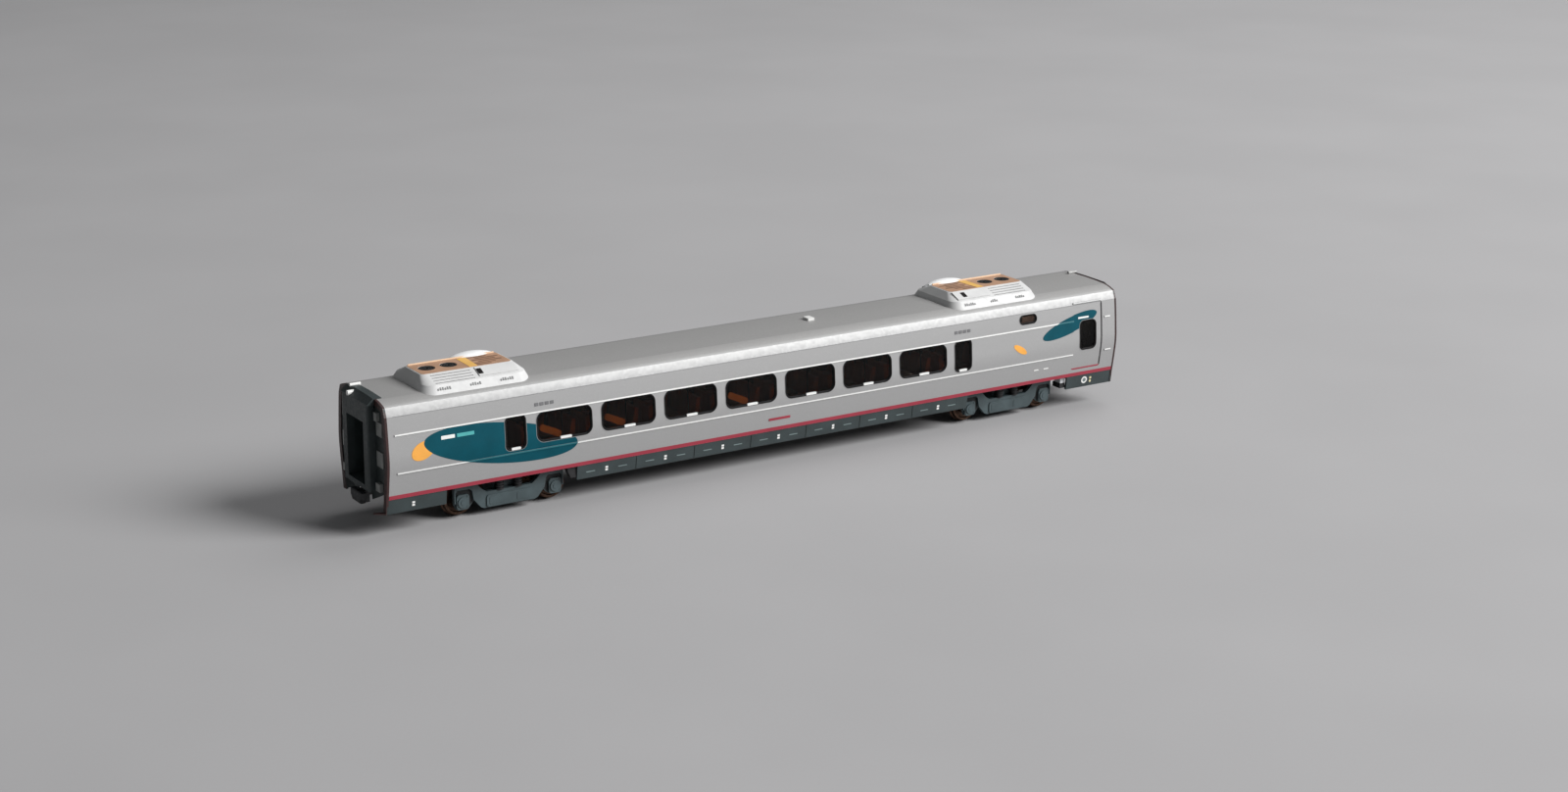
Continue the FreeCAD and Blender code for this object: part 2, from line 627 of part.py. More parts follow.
def side_frame():
    """Near side frame: an arch over each axlebox and a dropped middle beam."""
    arch = [(0, 8.2), (8.4, 8.2), (10.4, 9.6), (12.4, FRAME_TOP), (FRAME_HALF, FRAME_TOP), (FRAME_HALF, 5.8),
            (19.9, 5.8), (19.9, 9.4), (19.2, 10.2), (14.6, 10.2), (13.8, 9.4), (13.2, 6.2), (10.6, 3.1),
            (9.4, 2.6), (0, 2.6)]
    back = [(0, 8.2), (8.4, 8.2), (10.4, 9.6), (12.4, FRAME_TOP), (FRAME_HALF, FRAME_TOP), (FRAME_HALF, 5.8),
            (19.6, 3.6), (18.2, 3.0), (16.2, 3.0), (14.4, 3.8), (12.8, 5.6), (10.6, 3.1), (9.4, 2.6),
            (0, 2.6)]

    def both_halves(points):
        return points + [(-x, z) for x, z in reversed(points) if x]

    pieces = [side_plate(both_halves(back), (-SIDE_BACK, -SIDE_INNER)),
              side_plate(both_halves(arch), (-SIDE_FRONT, -SIDE_BACK + 0.1)),
              rounded_block((-8.6, 8.6), (-BOX_FRONT, -SIDE_FRONT + 0.1), (2.9, 7.0), 0.9, ACROSS)]
    holes = []
    for side in (-1, 1):
        x = side * WHEELBASE / 2
        cover = rounded_block((x - 2.3, x + 2.3), (-SIDE_FRONT, -SIDE_BACK + 0.1), (3.4, 8.6), 1.0, ACROSS)
        pieces += [cover, cross_bar(1.9, x, AXLE_Z, (-BOX_FRONT, -SIDE_FRONT + 0.1))]
        holes.append(cross_bar(BEARING_R, x, AXLE_Z, (-SIDE_FRONT + 0.1, -SIDE_INNER + 1)))
    return join(pieces).cut(holes)


def bogie_frame():
    """Middle of the bogie: cross bolster, spine over the axles and the pivot bore."""
    bolster = box((-5.2, 5.2), (-10.6, 10.6), (7.8, BOLSTER_TOP))
    transom = box((-5.2, 5.2), (-SIDE_INNER, SIDE_INNER), (5.4, 8.2))
    spine = box((-20.3, 20.3), (-3.2, 3.2), (8.8, 11.0))
    bore = post(KING_BORE_R, 0, 0, (0, 20))
    pocket = post(3.0, 0, 0, (0, 10.0))
    return join([bolster, transom, spine]).cut([bore, pocket])


def bearings():
    """Four brass cups for the axle journals, pushed into the side frames."""
    cups = []
    for end in (-1, 1):
        cup = cross_bar(BEARING_R, end * WHEELBASE / 2, AXLE_Z, (-SIDE_FRONT + 0.1, -SIDE_INNER))
        cup = cup.cut(cross_bar(BEARING_BORE_R, end * WHEELBASE / 2, AXLE_Z, (-SIDE_FRONT + 0.4, -10)))
        cups += [cup, mirrored_y(cup)]
    return cups


def pickups():
    """Bronze wiper inside each wheel's inner face, with a foot under the spine."""
    wiper = box((7.0, 20.0), (-6.8, -6.55), (7.4, 8.8))
    foot = box((7.0, 10.0), (-6.6, -1.6), (8.55, 8.8))
    near = join([wiper, foot])
    pair = [near, mirrored_x(near)]
    return pair + [mirrored_y(shape) for shape in pair]


def bogie_springs():
    """Coil springs standing on the side frames beside the bolster, drawn as ringed posts."""
    springs = []
    for x in (-3.4, 3.4):
        rings = [post(1.5, x, 12.3, (8.2 + 0.9 * i, 8.75 + 0.9 * i)) for i in range(4)]
        spring = join([post(1.15, x, 12.3, (8.2, 11.9))] + rings)
        springs += [spring, mirrored_y(spring)]
    return springs


def wheel():
    """Wheel on the far side: tread, rounded flange and dished face, as a turned profile."""
    outer = BACK_FACE + WHEEL_WIDTH
    points = [
        (BUSH_R, BACK_FACE), (4.2, BACK_FACE), (FLANGE_R - 0.25, BACK_FACE), (FLANGE_R, BACK_FACE + 0.3),
        (FLANGE_R - 0.15, BACK_FACE + 0.55), (TREAD_R + 0.05, BACK_FACE + 0.85), (TREAD_R, outer - 0.15),
        (TREAD_R - 0.15, outer), (4.35, outer), (4.1, outer - 0.6), (2.6, outer - 0.9), (2.3, outer - 0.3),
        (BUSH_R, outer - 0.3),
    ]
    wire = Part.makePolygon([V(0, y, r) for r, y in points + points[:1]])
    turned_wheel = Part.Face(wire).revolve(V(0, 0, 0), ACROSS, 360)
    turned_wheel.translate(V(0, 0, AXLE_Z))
    return turned_wheel


def bush():
    """Plastic sleeve that insulates a wheel from its axle."""
    outer = BACK_FACE + WHEEL_WIDTH
    sleeve = cross_bar(BUSH_R, 0, AXLE_Z, (BACK_FACE, outer - 0.3))
    return sleeve.cut(cross_bar(AXLE_R, 0, AXLE_Z, (0, 20)))


def axle():
    """Steel axle with a thin journal and a cone at each end."""
    middle = cross_bar(AXLE_R, 0, AXLE_Z, (-JOURNAL_START, JOURNAL_START))
    journal = cross_bar(JOURNAL_R, 0, AXLE_Z, (JOURNAL_START - 0.1, JOURNAL_END))
    tip = Part.makeCone(JOURNAL_R, 0.1, 0.3, V(0, JOURNAL_END, AXLE_Z), ACROSS)
    end = join([journal, tip])
    return join([middle, end, mirrored_y(end)])


# ---------------------------------------------------------------- drawbars and screws

def drawbar():
    """Flat drawbar for end a with its pivot eye and a deep head that carries the coupling hole."""
    eye = post(2.4, -DRAWBAR_PIVOT, 0, (DRAWBAR_LOW, DRAWBAR_HIGH))
    bar = box((-DRAWBAR_NECK_BACK - 0.5, -DRAWBAR_PIVOT), (-1.5, 1.5), (DRAWBAR_LOW, DRAWBAR_HIGH))
    neck = box((-DRAWBAR_HEAD_BACK - 0.5, -DRAWBAR_NECK_BACK), (-DRAWBAR_NECK_HALF, DRAWBAR_NECK_HALF),
               (DRAWBAR_HEAD_LOW, DRAWBAR_HEAD_HIGH))
    near_half = [(-4.4, DRAWBAR_HEAD_HIGH), (-4.4, 10.0), (-2.9, DRAWBAR_HEAD_LOW)]
    far_half = [(-y, z) for y, z in reversed(near_half)]
    head = end_plate(near_half + far_half, (-DRAWBAR_TIP, -DRAWBAR_HEAD_BACK))
    head = head.makeFillet(0.8, [e for e in head.Edges if e.BoundBox.XMax < -DRAWBAR_TIP + 0.01])
    pivot_hole = post(1.28, -DRAWBAR_PIVOT, 0, (0, 20))
    coupling_hole = post(DRAWBAR_EYE_R, -DRAWBAR_EYE_X, 0, (0, 20))
    return join([eye, bar, neck, head]).cut([pivot_hole, coupling_hole])


def kingpin(x):
    """Shouldered screw that holds a bogie up to the floor."""
    head = post(2.4, x, 0, (8.7, 9.8))
    shoulder = post(KING_SHOULDER_R, x, 0, (9.8, BOSS_BOTTOM))
    thread = post(THREAD_R, x, 0, (BOSS_BOTTOM, FLOOR_HIGH - 0.4))
    slot = box((x - 3, x + 3), (-0.3, 0.3), (8.0, 9.1))
    return join([head, shoulder, thread]).cut(slot)


def drawbar_screw(x):
    """Shouldered screw that holds a drawbar."""
    head = post(2.0, x, 0, (9.2, DRAWBAR_LOW - 0.1))
    shoulder = post(1.2, x, 0, (DRAWBAR_LOW - 0.1, DRAWBAR_HIGH + 0.2))
    thread = post(0.78, x, 0, (DRAWBAR_HIGH + 0.2, FLOOR_HIGH - 0.4))
    slot = box((x - 3, x + 3), (-0.25, 0.25), (8.0, 9.5))
    return join([head, shoulder, thread]).cut(slot)


# ---------------------------------------------------------------- the whole coach

def save_body():
    save("body_shell", body_shell())
    near, far = near_and_far(glazing(window_list(), (-109.5, 84.0), (22.3, 35.6)))
    save("side_glazing_near", near)
    save("side_glazing_far", far)
    near, far = near_and_far(door_glazing())
    save("door_glazing_near", near)
    save("door_glazing_far", far)
    save("roof_tab", box(*ROOF_TAB).cut(section(0, (0, 50), (40, 60))))


def save_roof_units():
    fans = [roof_fan(-offset) for offset in FAN_OFFSETS]
    shapes_a = [roof_unit(), roof_dome()] + fans
    shapes_b = [mirrored_x(shape) for shape in shapes_a]
    placed = {}
    for end, shapes in (("a", shapes_a), ("b", shapes_b)):
        placed[end] = [moved(shape, UNIT_X[end]) for shape in shapes]
        save("roof_unit_" + end, placed[end][0])
    save("roof_domes", placed["a"][1], placed["b"][1])
    save("roof_fans", *(placed["a"][2:] + placed["b"][2:]))


def save_ends():
    fittings = end_fittings()
    cap, ring = end_cap(), gangway_ring()
    hood_a, hood_b = gangway_hood(True), gangway_hood(False)
    save("end_cap_a", cap)
    save("end_cap_b", turned(cap))
    save("gangway_ring_a", ring)
    save("gangway_ring_b", turned(ring))
    save("gangway_hood_a", hood_a)
    save("gangway_hood_b", turned(hood_b))
    save("end_doors", end_door(), turned(end_door()))
    save("end_fittings", *(fittings + [turned(piece) for piece in fittings]))
    clips_b = [mirrored_x(piece) for piece in roof_clips([ROOF_ROD], hood_b)]
    save("roof_clips", *(roof_clips([ROOF_ROD, BROW_ROD], hood_a) + clips_b))


def save_underside():
    save("chassis_floor", chassis_floor())
    near, far = near_and_far(skirt(CENTRE_SKIRT_X))
    save("centre_skirt_near", near)
    save("centre_skirt_far", far)
    save("end_skirts_a", skirt((-BODY_HALF + 0.05, -END_SKIRT_START)))
    save("end_skirts_b", skirt((END_SKIRT_START, BODY_HALF - 0.05)))
    save("underfloor_boxes", *underfloor_boxes())
    save("side_blocks", *side_blocks())
    save("step_blocks", *step_blocks())


def save_interior():
    save("ballast_weight", box(*WEIGHT))
    save("interior_tray", interior_tray())
    save("seats", *seats())
    save("tables", *tables())
    save("partitions", *partitions())
    save("light_board", box(*BOARD))
    lamps = [WINDOW_FIRST_X + WINDOW_PITCH * i for i in range(WINDOW_COUNT)]
    lamp = box((-LAMP_HALF, LAMP_HALF), (-LAMP_HALF, LAMP_HALF), (BOARD[2][0] - 1, BOARD[2][0]))
    save("light_lamps", *[moved(lamp, x) for x in lamps])


def save_running_gear():
    near_side = side_frame()
    pieces = {
        "frame": [bogie_frame()],
        "sides": [near_side, mirrored_y(near_side)],
        "bearings": bearings(),
        "pickups": pickups(),
        "springs": bogie_springs(),
    }
    sets = {
        "wheels": [wheel(), mirrored_y(wheel())],
        "bushes": [bush(), mirrored_y(bush())],
        "axle": [axle()],
    }
    for end, pivot in (("a", -PIVOT_X), ("b", PIVOT_X)):
        for name, shapes in pieces.items():
            save("bogie_" + end + "_" + name, *[moved(shape, pivot) for shape in shapes])
        for number, side in (("1", -1), ("2", 1)):
            for name, shapes in sets.items():
                x = pivot + side * WHEELBASE / 2
                save(name + "_" + end + number, *[moved(shape, x) for shape in shapes])
    save("drawbar_a", drawbar())
    save("drawbar_b", turned(drawbar()))
    screws = []
    for side in (-1, 1):
        screws += [kingpin(side * PIVOT_X), drawbar_screw(side * DRAWBAR_PIVOT)]
    save("pivot_screws", *screws)


def main():
    os.makedirs("parts", exist_ok=True)
    save_body()
    save_roof_units()
    save_ends()
    save_underside()
    save_interior()
    save_running_gear()


main()
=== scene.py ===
import json
import math

import bpy
from mathutils import Matrix, Vector, geometry
from mathutils.bvhtree import BVHTree


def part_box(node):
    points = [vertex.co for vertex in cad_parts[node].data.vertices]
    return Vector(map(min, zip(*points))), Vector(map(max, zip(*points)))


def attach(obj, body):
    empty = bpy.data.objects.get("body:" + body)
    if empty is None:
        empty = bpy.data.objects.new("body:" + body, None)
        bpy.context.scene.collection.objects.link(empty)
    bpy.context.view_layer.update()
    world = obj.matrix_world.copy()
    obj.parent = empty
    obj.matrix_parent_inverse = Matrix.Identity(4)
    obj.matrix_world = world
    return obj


# Looks of the model passenger coach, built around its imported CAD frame.
# Blender works in metres. Lengths below are millimetres times MM unless a comment says otherwise.
# X runs along the coach, Y across it, Z up. The near side is -Y.

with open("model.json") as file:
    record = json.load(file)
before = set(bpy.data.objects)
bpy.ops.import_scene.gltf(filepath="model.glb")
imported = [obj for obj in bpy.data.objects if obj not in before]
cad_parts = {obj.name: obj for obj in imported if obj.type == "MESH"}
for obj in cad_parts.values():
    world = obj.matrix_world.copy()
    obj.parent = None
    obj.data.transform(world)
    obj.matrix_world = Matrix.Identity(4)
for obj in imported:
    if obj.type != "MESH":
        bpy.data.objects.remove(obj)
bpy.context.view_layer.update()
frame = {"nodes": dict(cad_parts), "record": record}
nodes = frame["nodes"]
MM = 0.001
NEAR, FAR = -1, 1


# ---------------------------------------------------------------- node materials

class Graph:
    """Short way to write a node material with one Principled shader."""

    def __init__(self, name):
        self.material = bpy.data.materials.new(name)
        self.material.use_nodes = True
        self.tree = self.material.node_tree
        self.shader = self.tree.nodes["Principled BSDF"]
        self.place = self.add("ShaderNodeTexCoord").outputs["Object"]

    def add(self, kind, **settings):
        node = self.tree.nodes.new(kind)
        for key, value in settings.items():
            setattr(node, key, value)
        return node

    def link(self, source, target):
        self.tree.links.new(source, target)

    def noise(self, scale, detail=2.0, stretch=(1, 1, 1)):
        """Noise between 0 and 1 whose grain is 1/scale metres."""
        mapping = self.add("ShaderNodeMapping")
        mapping.inputs["Scale"].default_value = stretch
        self.link(self.place, mapping.inputs["Vector"])
        node = self.add("ShaderNodeTexNoise")
        node.inputs["Scale"].default_value = scale
        node.inputs["Detail"].default_value = detail
        self.link(mapping.outputs["Vector"], node.inputs["Vector"])
        return node.outputs["Fac"]

    def spread(self, source, low, high, start=0.35, end=0.65):
        """Maps the middle of a noise to the range low to high."""
        node = self.add("ShaderNodeMapRange")
        for key, value in (("From Min", start), ("From Max", end), ("To Min", low), ("To Max", high)):
            node.inputs[key].default_value = value
        self.link(source, node.inputs["Value"])
        return node.outputs["Result"]

    def math(self, operation, first, second=0.0):
        node = self.add("ShaderNodeMath", operation=operation)
        for socket, value in zip(node.inputs, (first, second)):
            if isinstance(value, (int, float)):
                socket.default_value = value
            else:
                self.link(value, socket)
        return node.outputs["Value"]

    def mix(self, factor, first, second):
        """Blend of two colours, given as tuples or sockets."""
        node = self.add("ShaderNodeMix", data_type="RGBA")
        if isinstance(factor, (int, float)):
            node.inputs["Factor"].default_value = factor
        else:
            self.link(factor, node.inputs["Factor"])
        for socket, value in ((node.inputs["A"], first), (node.inputs["B"], second)):
            if isinstance(value, tuple):
                socket.default_value = (*value, 1.0)
            else:
                self.link(value, socket)
        return node.outputs["Result"]

    def axis(self, name):
        """The X, Y or Z of the place, in metres."""
        node = self.add("ShaderNodeSeparateXYZ")
        self.link(self.place, node.inputs["Vector"])
        return node.outputs[name]

    def above(self, source, limit, softness=0.00004):
        """0 below the limit and 1 above it."""
        return self.spread(source, 0.0, 1.0, limit - softness, limit + softness)

    def inward(self):
        """1 on faces that look towards the middle of the coach, such as the inside of the shell."""
        split = self.add("ShaderNodeSeparateXYZ")
        self.link(self.add("ShaderNodeNewGeometry").outputs["Normal"], split.inputs["Vector"])
        outward = self.math("MULTIPLY", split.outputs["Y"], self.axis("Y"))
        return self.math("LESS_THAN", outward, -2.0 * MM)

    def bump(self, height, distance, strength=1.0):
        node = self.add("ShaderNodeBump")
        node.inputs["Distance"].default_value = distance
        node.inputs["Strength"].default_value = strength
        self.link(height, node.inputs["Height"])
        self.link(node.outputs["Normal"], self.shader.inputs["Normal"])

    def finish(self, colour, roughness, metallic=0.0, **fixed):
        """Sets the shader. Roughness is a (low, high) pair that follows a fine noise."""
        if isinstance(colour, tuple):
            self.shader.inputs["Base Color"].default_value = (*colour, 1.0)
        else:
            self.link(colour, self.shader.inputs["Base Color"])
        self.link(self.spread(self.noise(900.0), *roughness), self.shader.inputs["Roughness"])
        self.shader.inputs["Metallic"].default_value = metallic
        for key, value in fixed.items():
            self.shader.inputs[key.replace("_", " ")].default_value = value
        return self.material


def shade(colour, factor):
    return tuple(min(1.0, channel * factor) for channel in colour)


def varied(graph, colour, amount, scale):
    """Colour that drifts lighter and darker by amount over patches of 1/scale metres."""
    return graph.mix(graph.spread(graph.noise(scale, 3.0), 0.0, 1.0),
                     shade(colour, 1 - amount), shade(colour, 1 + amount))


def plastic(name, colour, roughness=(0.38, 0.5), amount=0.07, grain=0.012, **fixed):
    """Moulded plastic or paint with a fine grain and a slight drift of tone."""
    graph = Graph(name)
    tone = varied(graph, colour, amount, 160.0)
    dust = graph.spread(graph.noise(45.0, 4.0), 0.0, 0.12, 0.45, 0.75)
    tone = graph.mix(dust, tone, shade(colour, 1.35))
    graph.bump(graph.noise(3200.0, 3.0), grain * MM, 0.6)
    return graph.finish(tone, roughness, **fixed)


def metal(name, colour, roughness=(0.25, 0.42), amount=0.18, stretch=(1, 1, 1)):
    """Bare metal with fine turning or rolling marks."""
    graph = Graph(name)
    tone = varied(graph, colour, amount, 420.0)
    graph.bump(graph.noise(1500.0, 4.0, stretch), 0.012 * MM, 0.7)
    return graph.finish(tone, roughness, 1.0)


SILVER_SIDE = (0.375, 0.373, 0.373)
CANT_DIMMED_SILVER = (0.31, 0.31, 0.31)
CREASE_PAINTED_HIGHLIGHT = (0.48, 0.48, 0.475)
SILVER_ROOF = (0.345, 0.34, 0.335)
SILVER_DRIFT = (0.30, 0.30, 0.30)
SILVER_FLAKE = (0.92, 0.92, 0.92)
INSIDE_BROWN = (0.045, 0.036, 0.030)
CANT_LOW, CANT_TOP, ROOF_START = 40.7 * MM, 43.7 * MM, 44.3 * MM
END_GREEN = (0.022, 0.031, 0.031)
RIM_BROWN = (0.036, 0.013, 0.012)
RIM_START = (("X", 150.6), ("Y", 17.0))     # the rim lies beyond these distances from the middle
RIM_HEIGHT = 43.6
END_FITTING_SILVER = (0.24, 0.25, 0.24)
ROOF_FITTING_HIGHLIGHT = (0.80, 0.80, 0.78)
FAR_ROOF_FITTING_HIGHLIGHT = (0.36, 0.36, 0.35)
FITTINGS_ON_ROOF = 43.0


def body_paint():
    """Satin silver spray with a greyer roof. Along each sloping roof edge the band is painted darker than the
    side at its foot, as painted shade that tones down the light it catches, and brightens into a painted
    highlight at the crease.
    """
    graph = Graph("body_silver")
    height = graph.axis("Z")
    # Painted light on the cant band: painted shade at its foot, rising to a painted highlight at the crease
    # that fades into the roof.
    base = graph.mix(graph.above(height, CANT_LOW), SILVER_SIDE, CANT_DIMMED_SILVER)
    base = graph.mix(graph.spread(height, 0.0, 1.0, CANT_LOW, CANT_TOP), base, CREASE_PAINTED_HIGHLIGHT)
    base = graph.mix(graph.spread(height, 0.0, 1.0, CANT_TOP, ROOF_START), base, SILVER_ROOF)
    drift = graph.spread(graph.noise(26.0, 3.0, (0.35, 1, 1)), 0.0, 0.08)
    base = graph.mix(drift, base, SILVER_DRIFT)
    flake = graph.spread(graph.noise(5200.0, 1.0), 0.0, 0.07, 0.52, 0.7)
    base = graph.mix(flake, base, SILVER_FLAKE)
    base = graph.mix(graph.inward(), base, INSIDE_BROWN)
    graph.bump(graph.noise(2600.0, 3.0), 0.010 * MM, 0.55)
    return graph.finish(base, (0.46, 0.56), 0.25, Specular_IOR_Level=0.35)


def end_paint():
    """Dark green-black end wall inside a browner rim."""
    graph = Graph("end_dark")
    rim = graph.above(graph.axis("Z"), RIM_HEIGHT * MM)
    for name, start in RIM_START:
        distance = graph.math("ABSOLUTE", graph.axis(name))
        rim = graph.math("MAXIMUM", rim, graph.above(distance, start * MM))
    tone = graph.mix(rim, varied(graph, END_GREEN, 0.2, 200.0), varied(graph, RIM_BROWN, 0.2, 200.0))
    graph.bump(graph.noise(2400.0, 3.0), 0.015 * MM, 0.6)
    return graph.finish(tone, (0.40, 0.52))


def smoked_glass():
    """Dark brown smoked clear plastic."""
    graph = Graph("glazing_smoke")
    tone = varied(graph, (0.34, 0.265, 0.225), 0.08, 60.0)
    return graph.finish(tone, (0.03, 0.07), 0.0, Transmission_Weight=1.0, IOR=1.22)


def fitting_paint():
    """Dull silver on the end walls; the small pieces of the roof are painted lighter as a painted highlight,
    less so at end b.
    """
    graph = Graph("fitting_silver")
    # Painted highlight: one silver, painted far lighter on the roof pieces than on the end walls, and a
    # little less light at end b.
    roof_highlight_tone = graph.mix(graph.above(graph.axis("X"), 100.0 * MM), ROOF_FITTING_HIGHLIGHT, FAR_ROOF_FITTING_HIGHLIGHT)
    end_tone = varied(graph, END_FITTING_SILVER, 0.12, 300.0)
    tone = graph.mix(graph.above(graph.axis("Z"), FITTINGS_ON_ROOF * MM), end_tone, roof_highlight_tone)
    graph.bump(graph.noise(3200.0, 3.0), 0.012 * MM, 0.6)
    return graph.finish(tone, (0.3, 0.42))


def fan_paint():
    """Brown-black fan blades with a paler worn hub side."""
    graph = Graph("fan_dark")
    tone = varied(graph, (0.030, 0.022, 0.016), 0.2, 300.0)
    worn = graph.spread(graph.noise(1400.0, 3.0), 0.0, 0.4, 0.55, 0.75)
    tone = graph.mix(worn, tone, (0.09, 0.07, 0.055))
    graph.bump(graph.noise(3000.0, 3.0), 0.012 * MM, 0.6)
    return graph.finish(tone, (0.5, 0.65))


def wheel_metal():
    """Browned metal, brighter where the tread is polished by the rails."""
    graph = Graph("wheel_metal")
    tone = varied(graph, (0.085, 0.052, 0.038), 0.25, 500.0)
    scuff = graph.spread(graph.noise(900.0, 4.0, (1, 6, 1)), 0.0, 0.35, 0.55, 0.75)
    tone = graph.mix(scuff, tone, (0.34, 0.19, 0.12))
    graph.bump(graph.noise(1800.0, 3.0), 0.010 * MM, 0.6)
    return graph.finish(tone, (0.28, 0.45), 1.0)


def make_materials():
    """One material for each slot of the record."""
    return {
        "body_silver": body_paint(),
        "glazing_smoke": smoked_glass(),
        "roof_unit_white": plastic("roof_unit_white", (0.60, 0.60, 0.595), (0.42, 0.55), 0.05),
        "fan_dark": fan_paint(),
        "dome_white": plastic("dome_white", (0.86, 0.86, 0.86), (0.4, 0.52), 0.03),
        "end_dark": end_paint(),
        "ring_dark": plastic("ring_dark", (0.030, 0.040, 0.041), (0.45, 0.6), 0.2),
        "door_dark": plastic("door_dark", (0.020, 0.026, 0.030), (0.4, 0.55), 0.2),
        "fitting_silver": fitting_paint(),
        "chassis_black": plastic("chassis_black", (0.012, 0.012, 0.013), (0.5, 0.65), 0.25),
        "skirt_slate": plastic("skirt_slate", (0.034, 0.047, 0.049), (0.40, 0.55), 0.14),
        "step_pale": plastic("step_pale", (0.55, 0.56, 0.58), (0.4, 0.5), 0.08),
        "weight_steel": metal("weight_steel", (0.35, 0.35, 0.36), stretch=(0.2, 1, 1)),
        "tray_grey": plastic("tray_grey", (0.045, 0.040, 0.037)),
        "seat_orange": plastic("seat_orange", (0.34, 0.080, 0.016), (0.5, 0.7), 0.2),
        "table_grey": plastic("table_grey", (0.10, 0.088, 0.078)),
        "partition_brown": plastic("partition_brown", (0.055, 0.030, 0.020)),
        "board_green": plastic("board_green", (0.02, 0.12, 0.05)),
        "lamp_white": plastic("lamp_white", (0.85, 0.80, 0.65)),
        "bogie_grey": plastic("bogie_grey", (0.054, 0.076, 0.082), (0.38, 0.52), 0.16, 0.02),
        "bearing_brass": metal("bearing_brass", (0.62, 0.45, 0.20)),
        "pickup_bronze": metal("pickup_bronze", (0.22, 0.12, 0.07), stretch=(0.3, 1, 1)),
        "wheel_metal": wheel_metal(),
        "bush_black": plastic("bush_black", (0.020, 0.020, 0.020)),
        "axle_steel": metal("axle_steel", (0.45, 0.45, 0.46), stretch=(1, 0.2, 1)),
        "drawbar_black": plastic("drawbar_black", (0.022, 0.023, 0.025), (0.4, 0.55), 0.2),
        "screw_steel": metal("screw_steel", (0.50, 0.50, 0.50)),
    }


materials = make_materials()
LIVERY = {
    "red": plastic("paint_red", (0.34, 0.032, 0.055), (0.42, 0.52), 0.06, 0.008),
    "teal": plastic("paint_teal", (0.001, 0.070, 0.098), (0.46, 0.56), 0.08, 0.008, Specular_IOR_Level=0.15),
    "light_teal": plastic("paint_light_teal", (0.08, 0.42, 0.42), (0.36, 0.48), 0.06, 0.008),
    "orange": plastic("paint_orange", (0.88, 0.40, 0.07), (0.36, 0.48), 0.06, 0.008),
    "white": plastic("paint_white", (0.86, 0.86, 0.84), (0.36, 0.48), 0.03, 0.008),
    "grey": plastic("paint_grey", (0.16, 0.16, 0.165), (0.4, 0.5), 0.1, 0.008),
    "cream": plastic("paint_cream", (0.70, 0.62, 0.36), (0.4, 0.5), 0.1, 0.008),
    "gasket": plastic("gasket_black", (0.006, 0.005, 0.005), (0.55, 0.7), 0.2, 0.01, Specular_IOR_Level=0.15),
    "dash": plastic("paint_dash", (0.17, 0.22, 0.22), (0.4, 0.5), 0.1, 0.008),
    "shadow": plastic("paint_shadow", (0.008, 0.009, 0.010), (0.6, 0.75), 0.2, 0.01),
    "copper": plastic("paint_copper", (0.46, 0.27, 0.17), (0.38, 0.50), 0.10, 0.010),
    "streak": plastic("paint_streak", (0.20, 0.105, 0.062), (0.42, 0.55), 0.18, 0.010),
    "amber": plastic("paint_amber", (0.86, 0.50, 0.13), (0.36, 0.48), 0.06, 0.008),
    "tick": plastic("paint_tick", (0.22, 0.22, 0.22), (0.4, 0.5), 0.1, 0.008),
    # lighter teal on the rib edges inside the ellipses: a painted highlight
    "rib_highlight_teal": plastic("paint_rib_highlight_teal", (0.016, 0.150, 0.180), (0.44, 0.54), 0.06, 0.008),
    "cover": plastic("cover_orange", (0.96, 0.34, 0.05), (0.5, 0.65), 0.10, 0.012),
    "lip": plastic("paint_lip", (0.90, 0.66, 0.46), (0.36, 0.48), 0.06, 0.010),
}


def dress_cad_nodes():
    """Give every carried-over CAD node the material of its slot."""
    for row in frame["record"]["subparts"]:
        obj = nodes[row["node"]]
        obj.data.materials.clear()
        obj.data.materials.append(materials[row["material_slot"]])


dress_cad_nodes()


# ---------------------------------------------------------------- mesh pieces

def add_piece(name, verts, faces, material, body="coach"):
    """New flat-shaded mesh object, in metres, that rides on a CAD body."""
    mesh = bpy.data.meshes.new(name)
    mesh.from_pydata(verts, [], faces)
    mesh.validate()
    mesh.materials.append(material)
    obj = bpy.data.objects.new(name, mesh)
    bpy.context.scene.collection.objects.link(obj)
    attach(obj, body)


class Wall:
    """Outer surface of a node's side, read along one upright line at probe x, in millimetres."""

    def __init__(self, node, probe):
        mesh = nodes[node].data
        self.tree = BVHTree.FromPolygons([v.co for v in mesh.vertices], [p.vertices for p in mesh.polygons])
        self.probe = probe
        self.known = {}

    def reach(self, z):
        """Half width of the wall at height z."""
        key = round(z, 3)
        if key not in self.known:
            start = Vector((self.probe * MM, -0.05, key * MM))
            hit = self.tree.ray_cast(start, Vector((0, 1, 0)))[0]
            if hit is None:
                raise ValueError("no wall at height %s" % key)
            self.known[key] = -hit.y / MM
        return self.known[key]


def inside(point, loop):
    """True if a point lies inside a closed loop of points."""
    x, z = point
    odd = False
    for (x0, z0), (x1, z1) in zip(loop, loop[1:] + loop[:1]):
        if (z0 > z) != (z1 > z) and x < (x1 - x0) * (z - z0) / (z1 - z0) + x0:
            odd = not odd
    return odd


def steps(low, high, step):
    """Even places from low to high, no further apart than step."""
    count = max(1, math.ceil((high - low) / step))
    return [low + (high - low) * i / count for i in range(count + 1)]


def divided(loop, step=0.8):
    """The same loop with extra points, so that it follows a curved wall between its corners."""
    result = []
    for (x0, z0), (x1, z1) in zip(loop, loop[1:] + loop[:1]):
        parts = max(1, math.ceil(abs(z1 - z0) / step))
        result += [(x0 + (x1 - x0) * i / parts, z0 + (z1 - z0) * i / parts) for i in range(parts)]
    return result


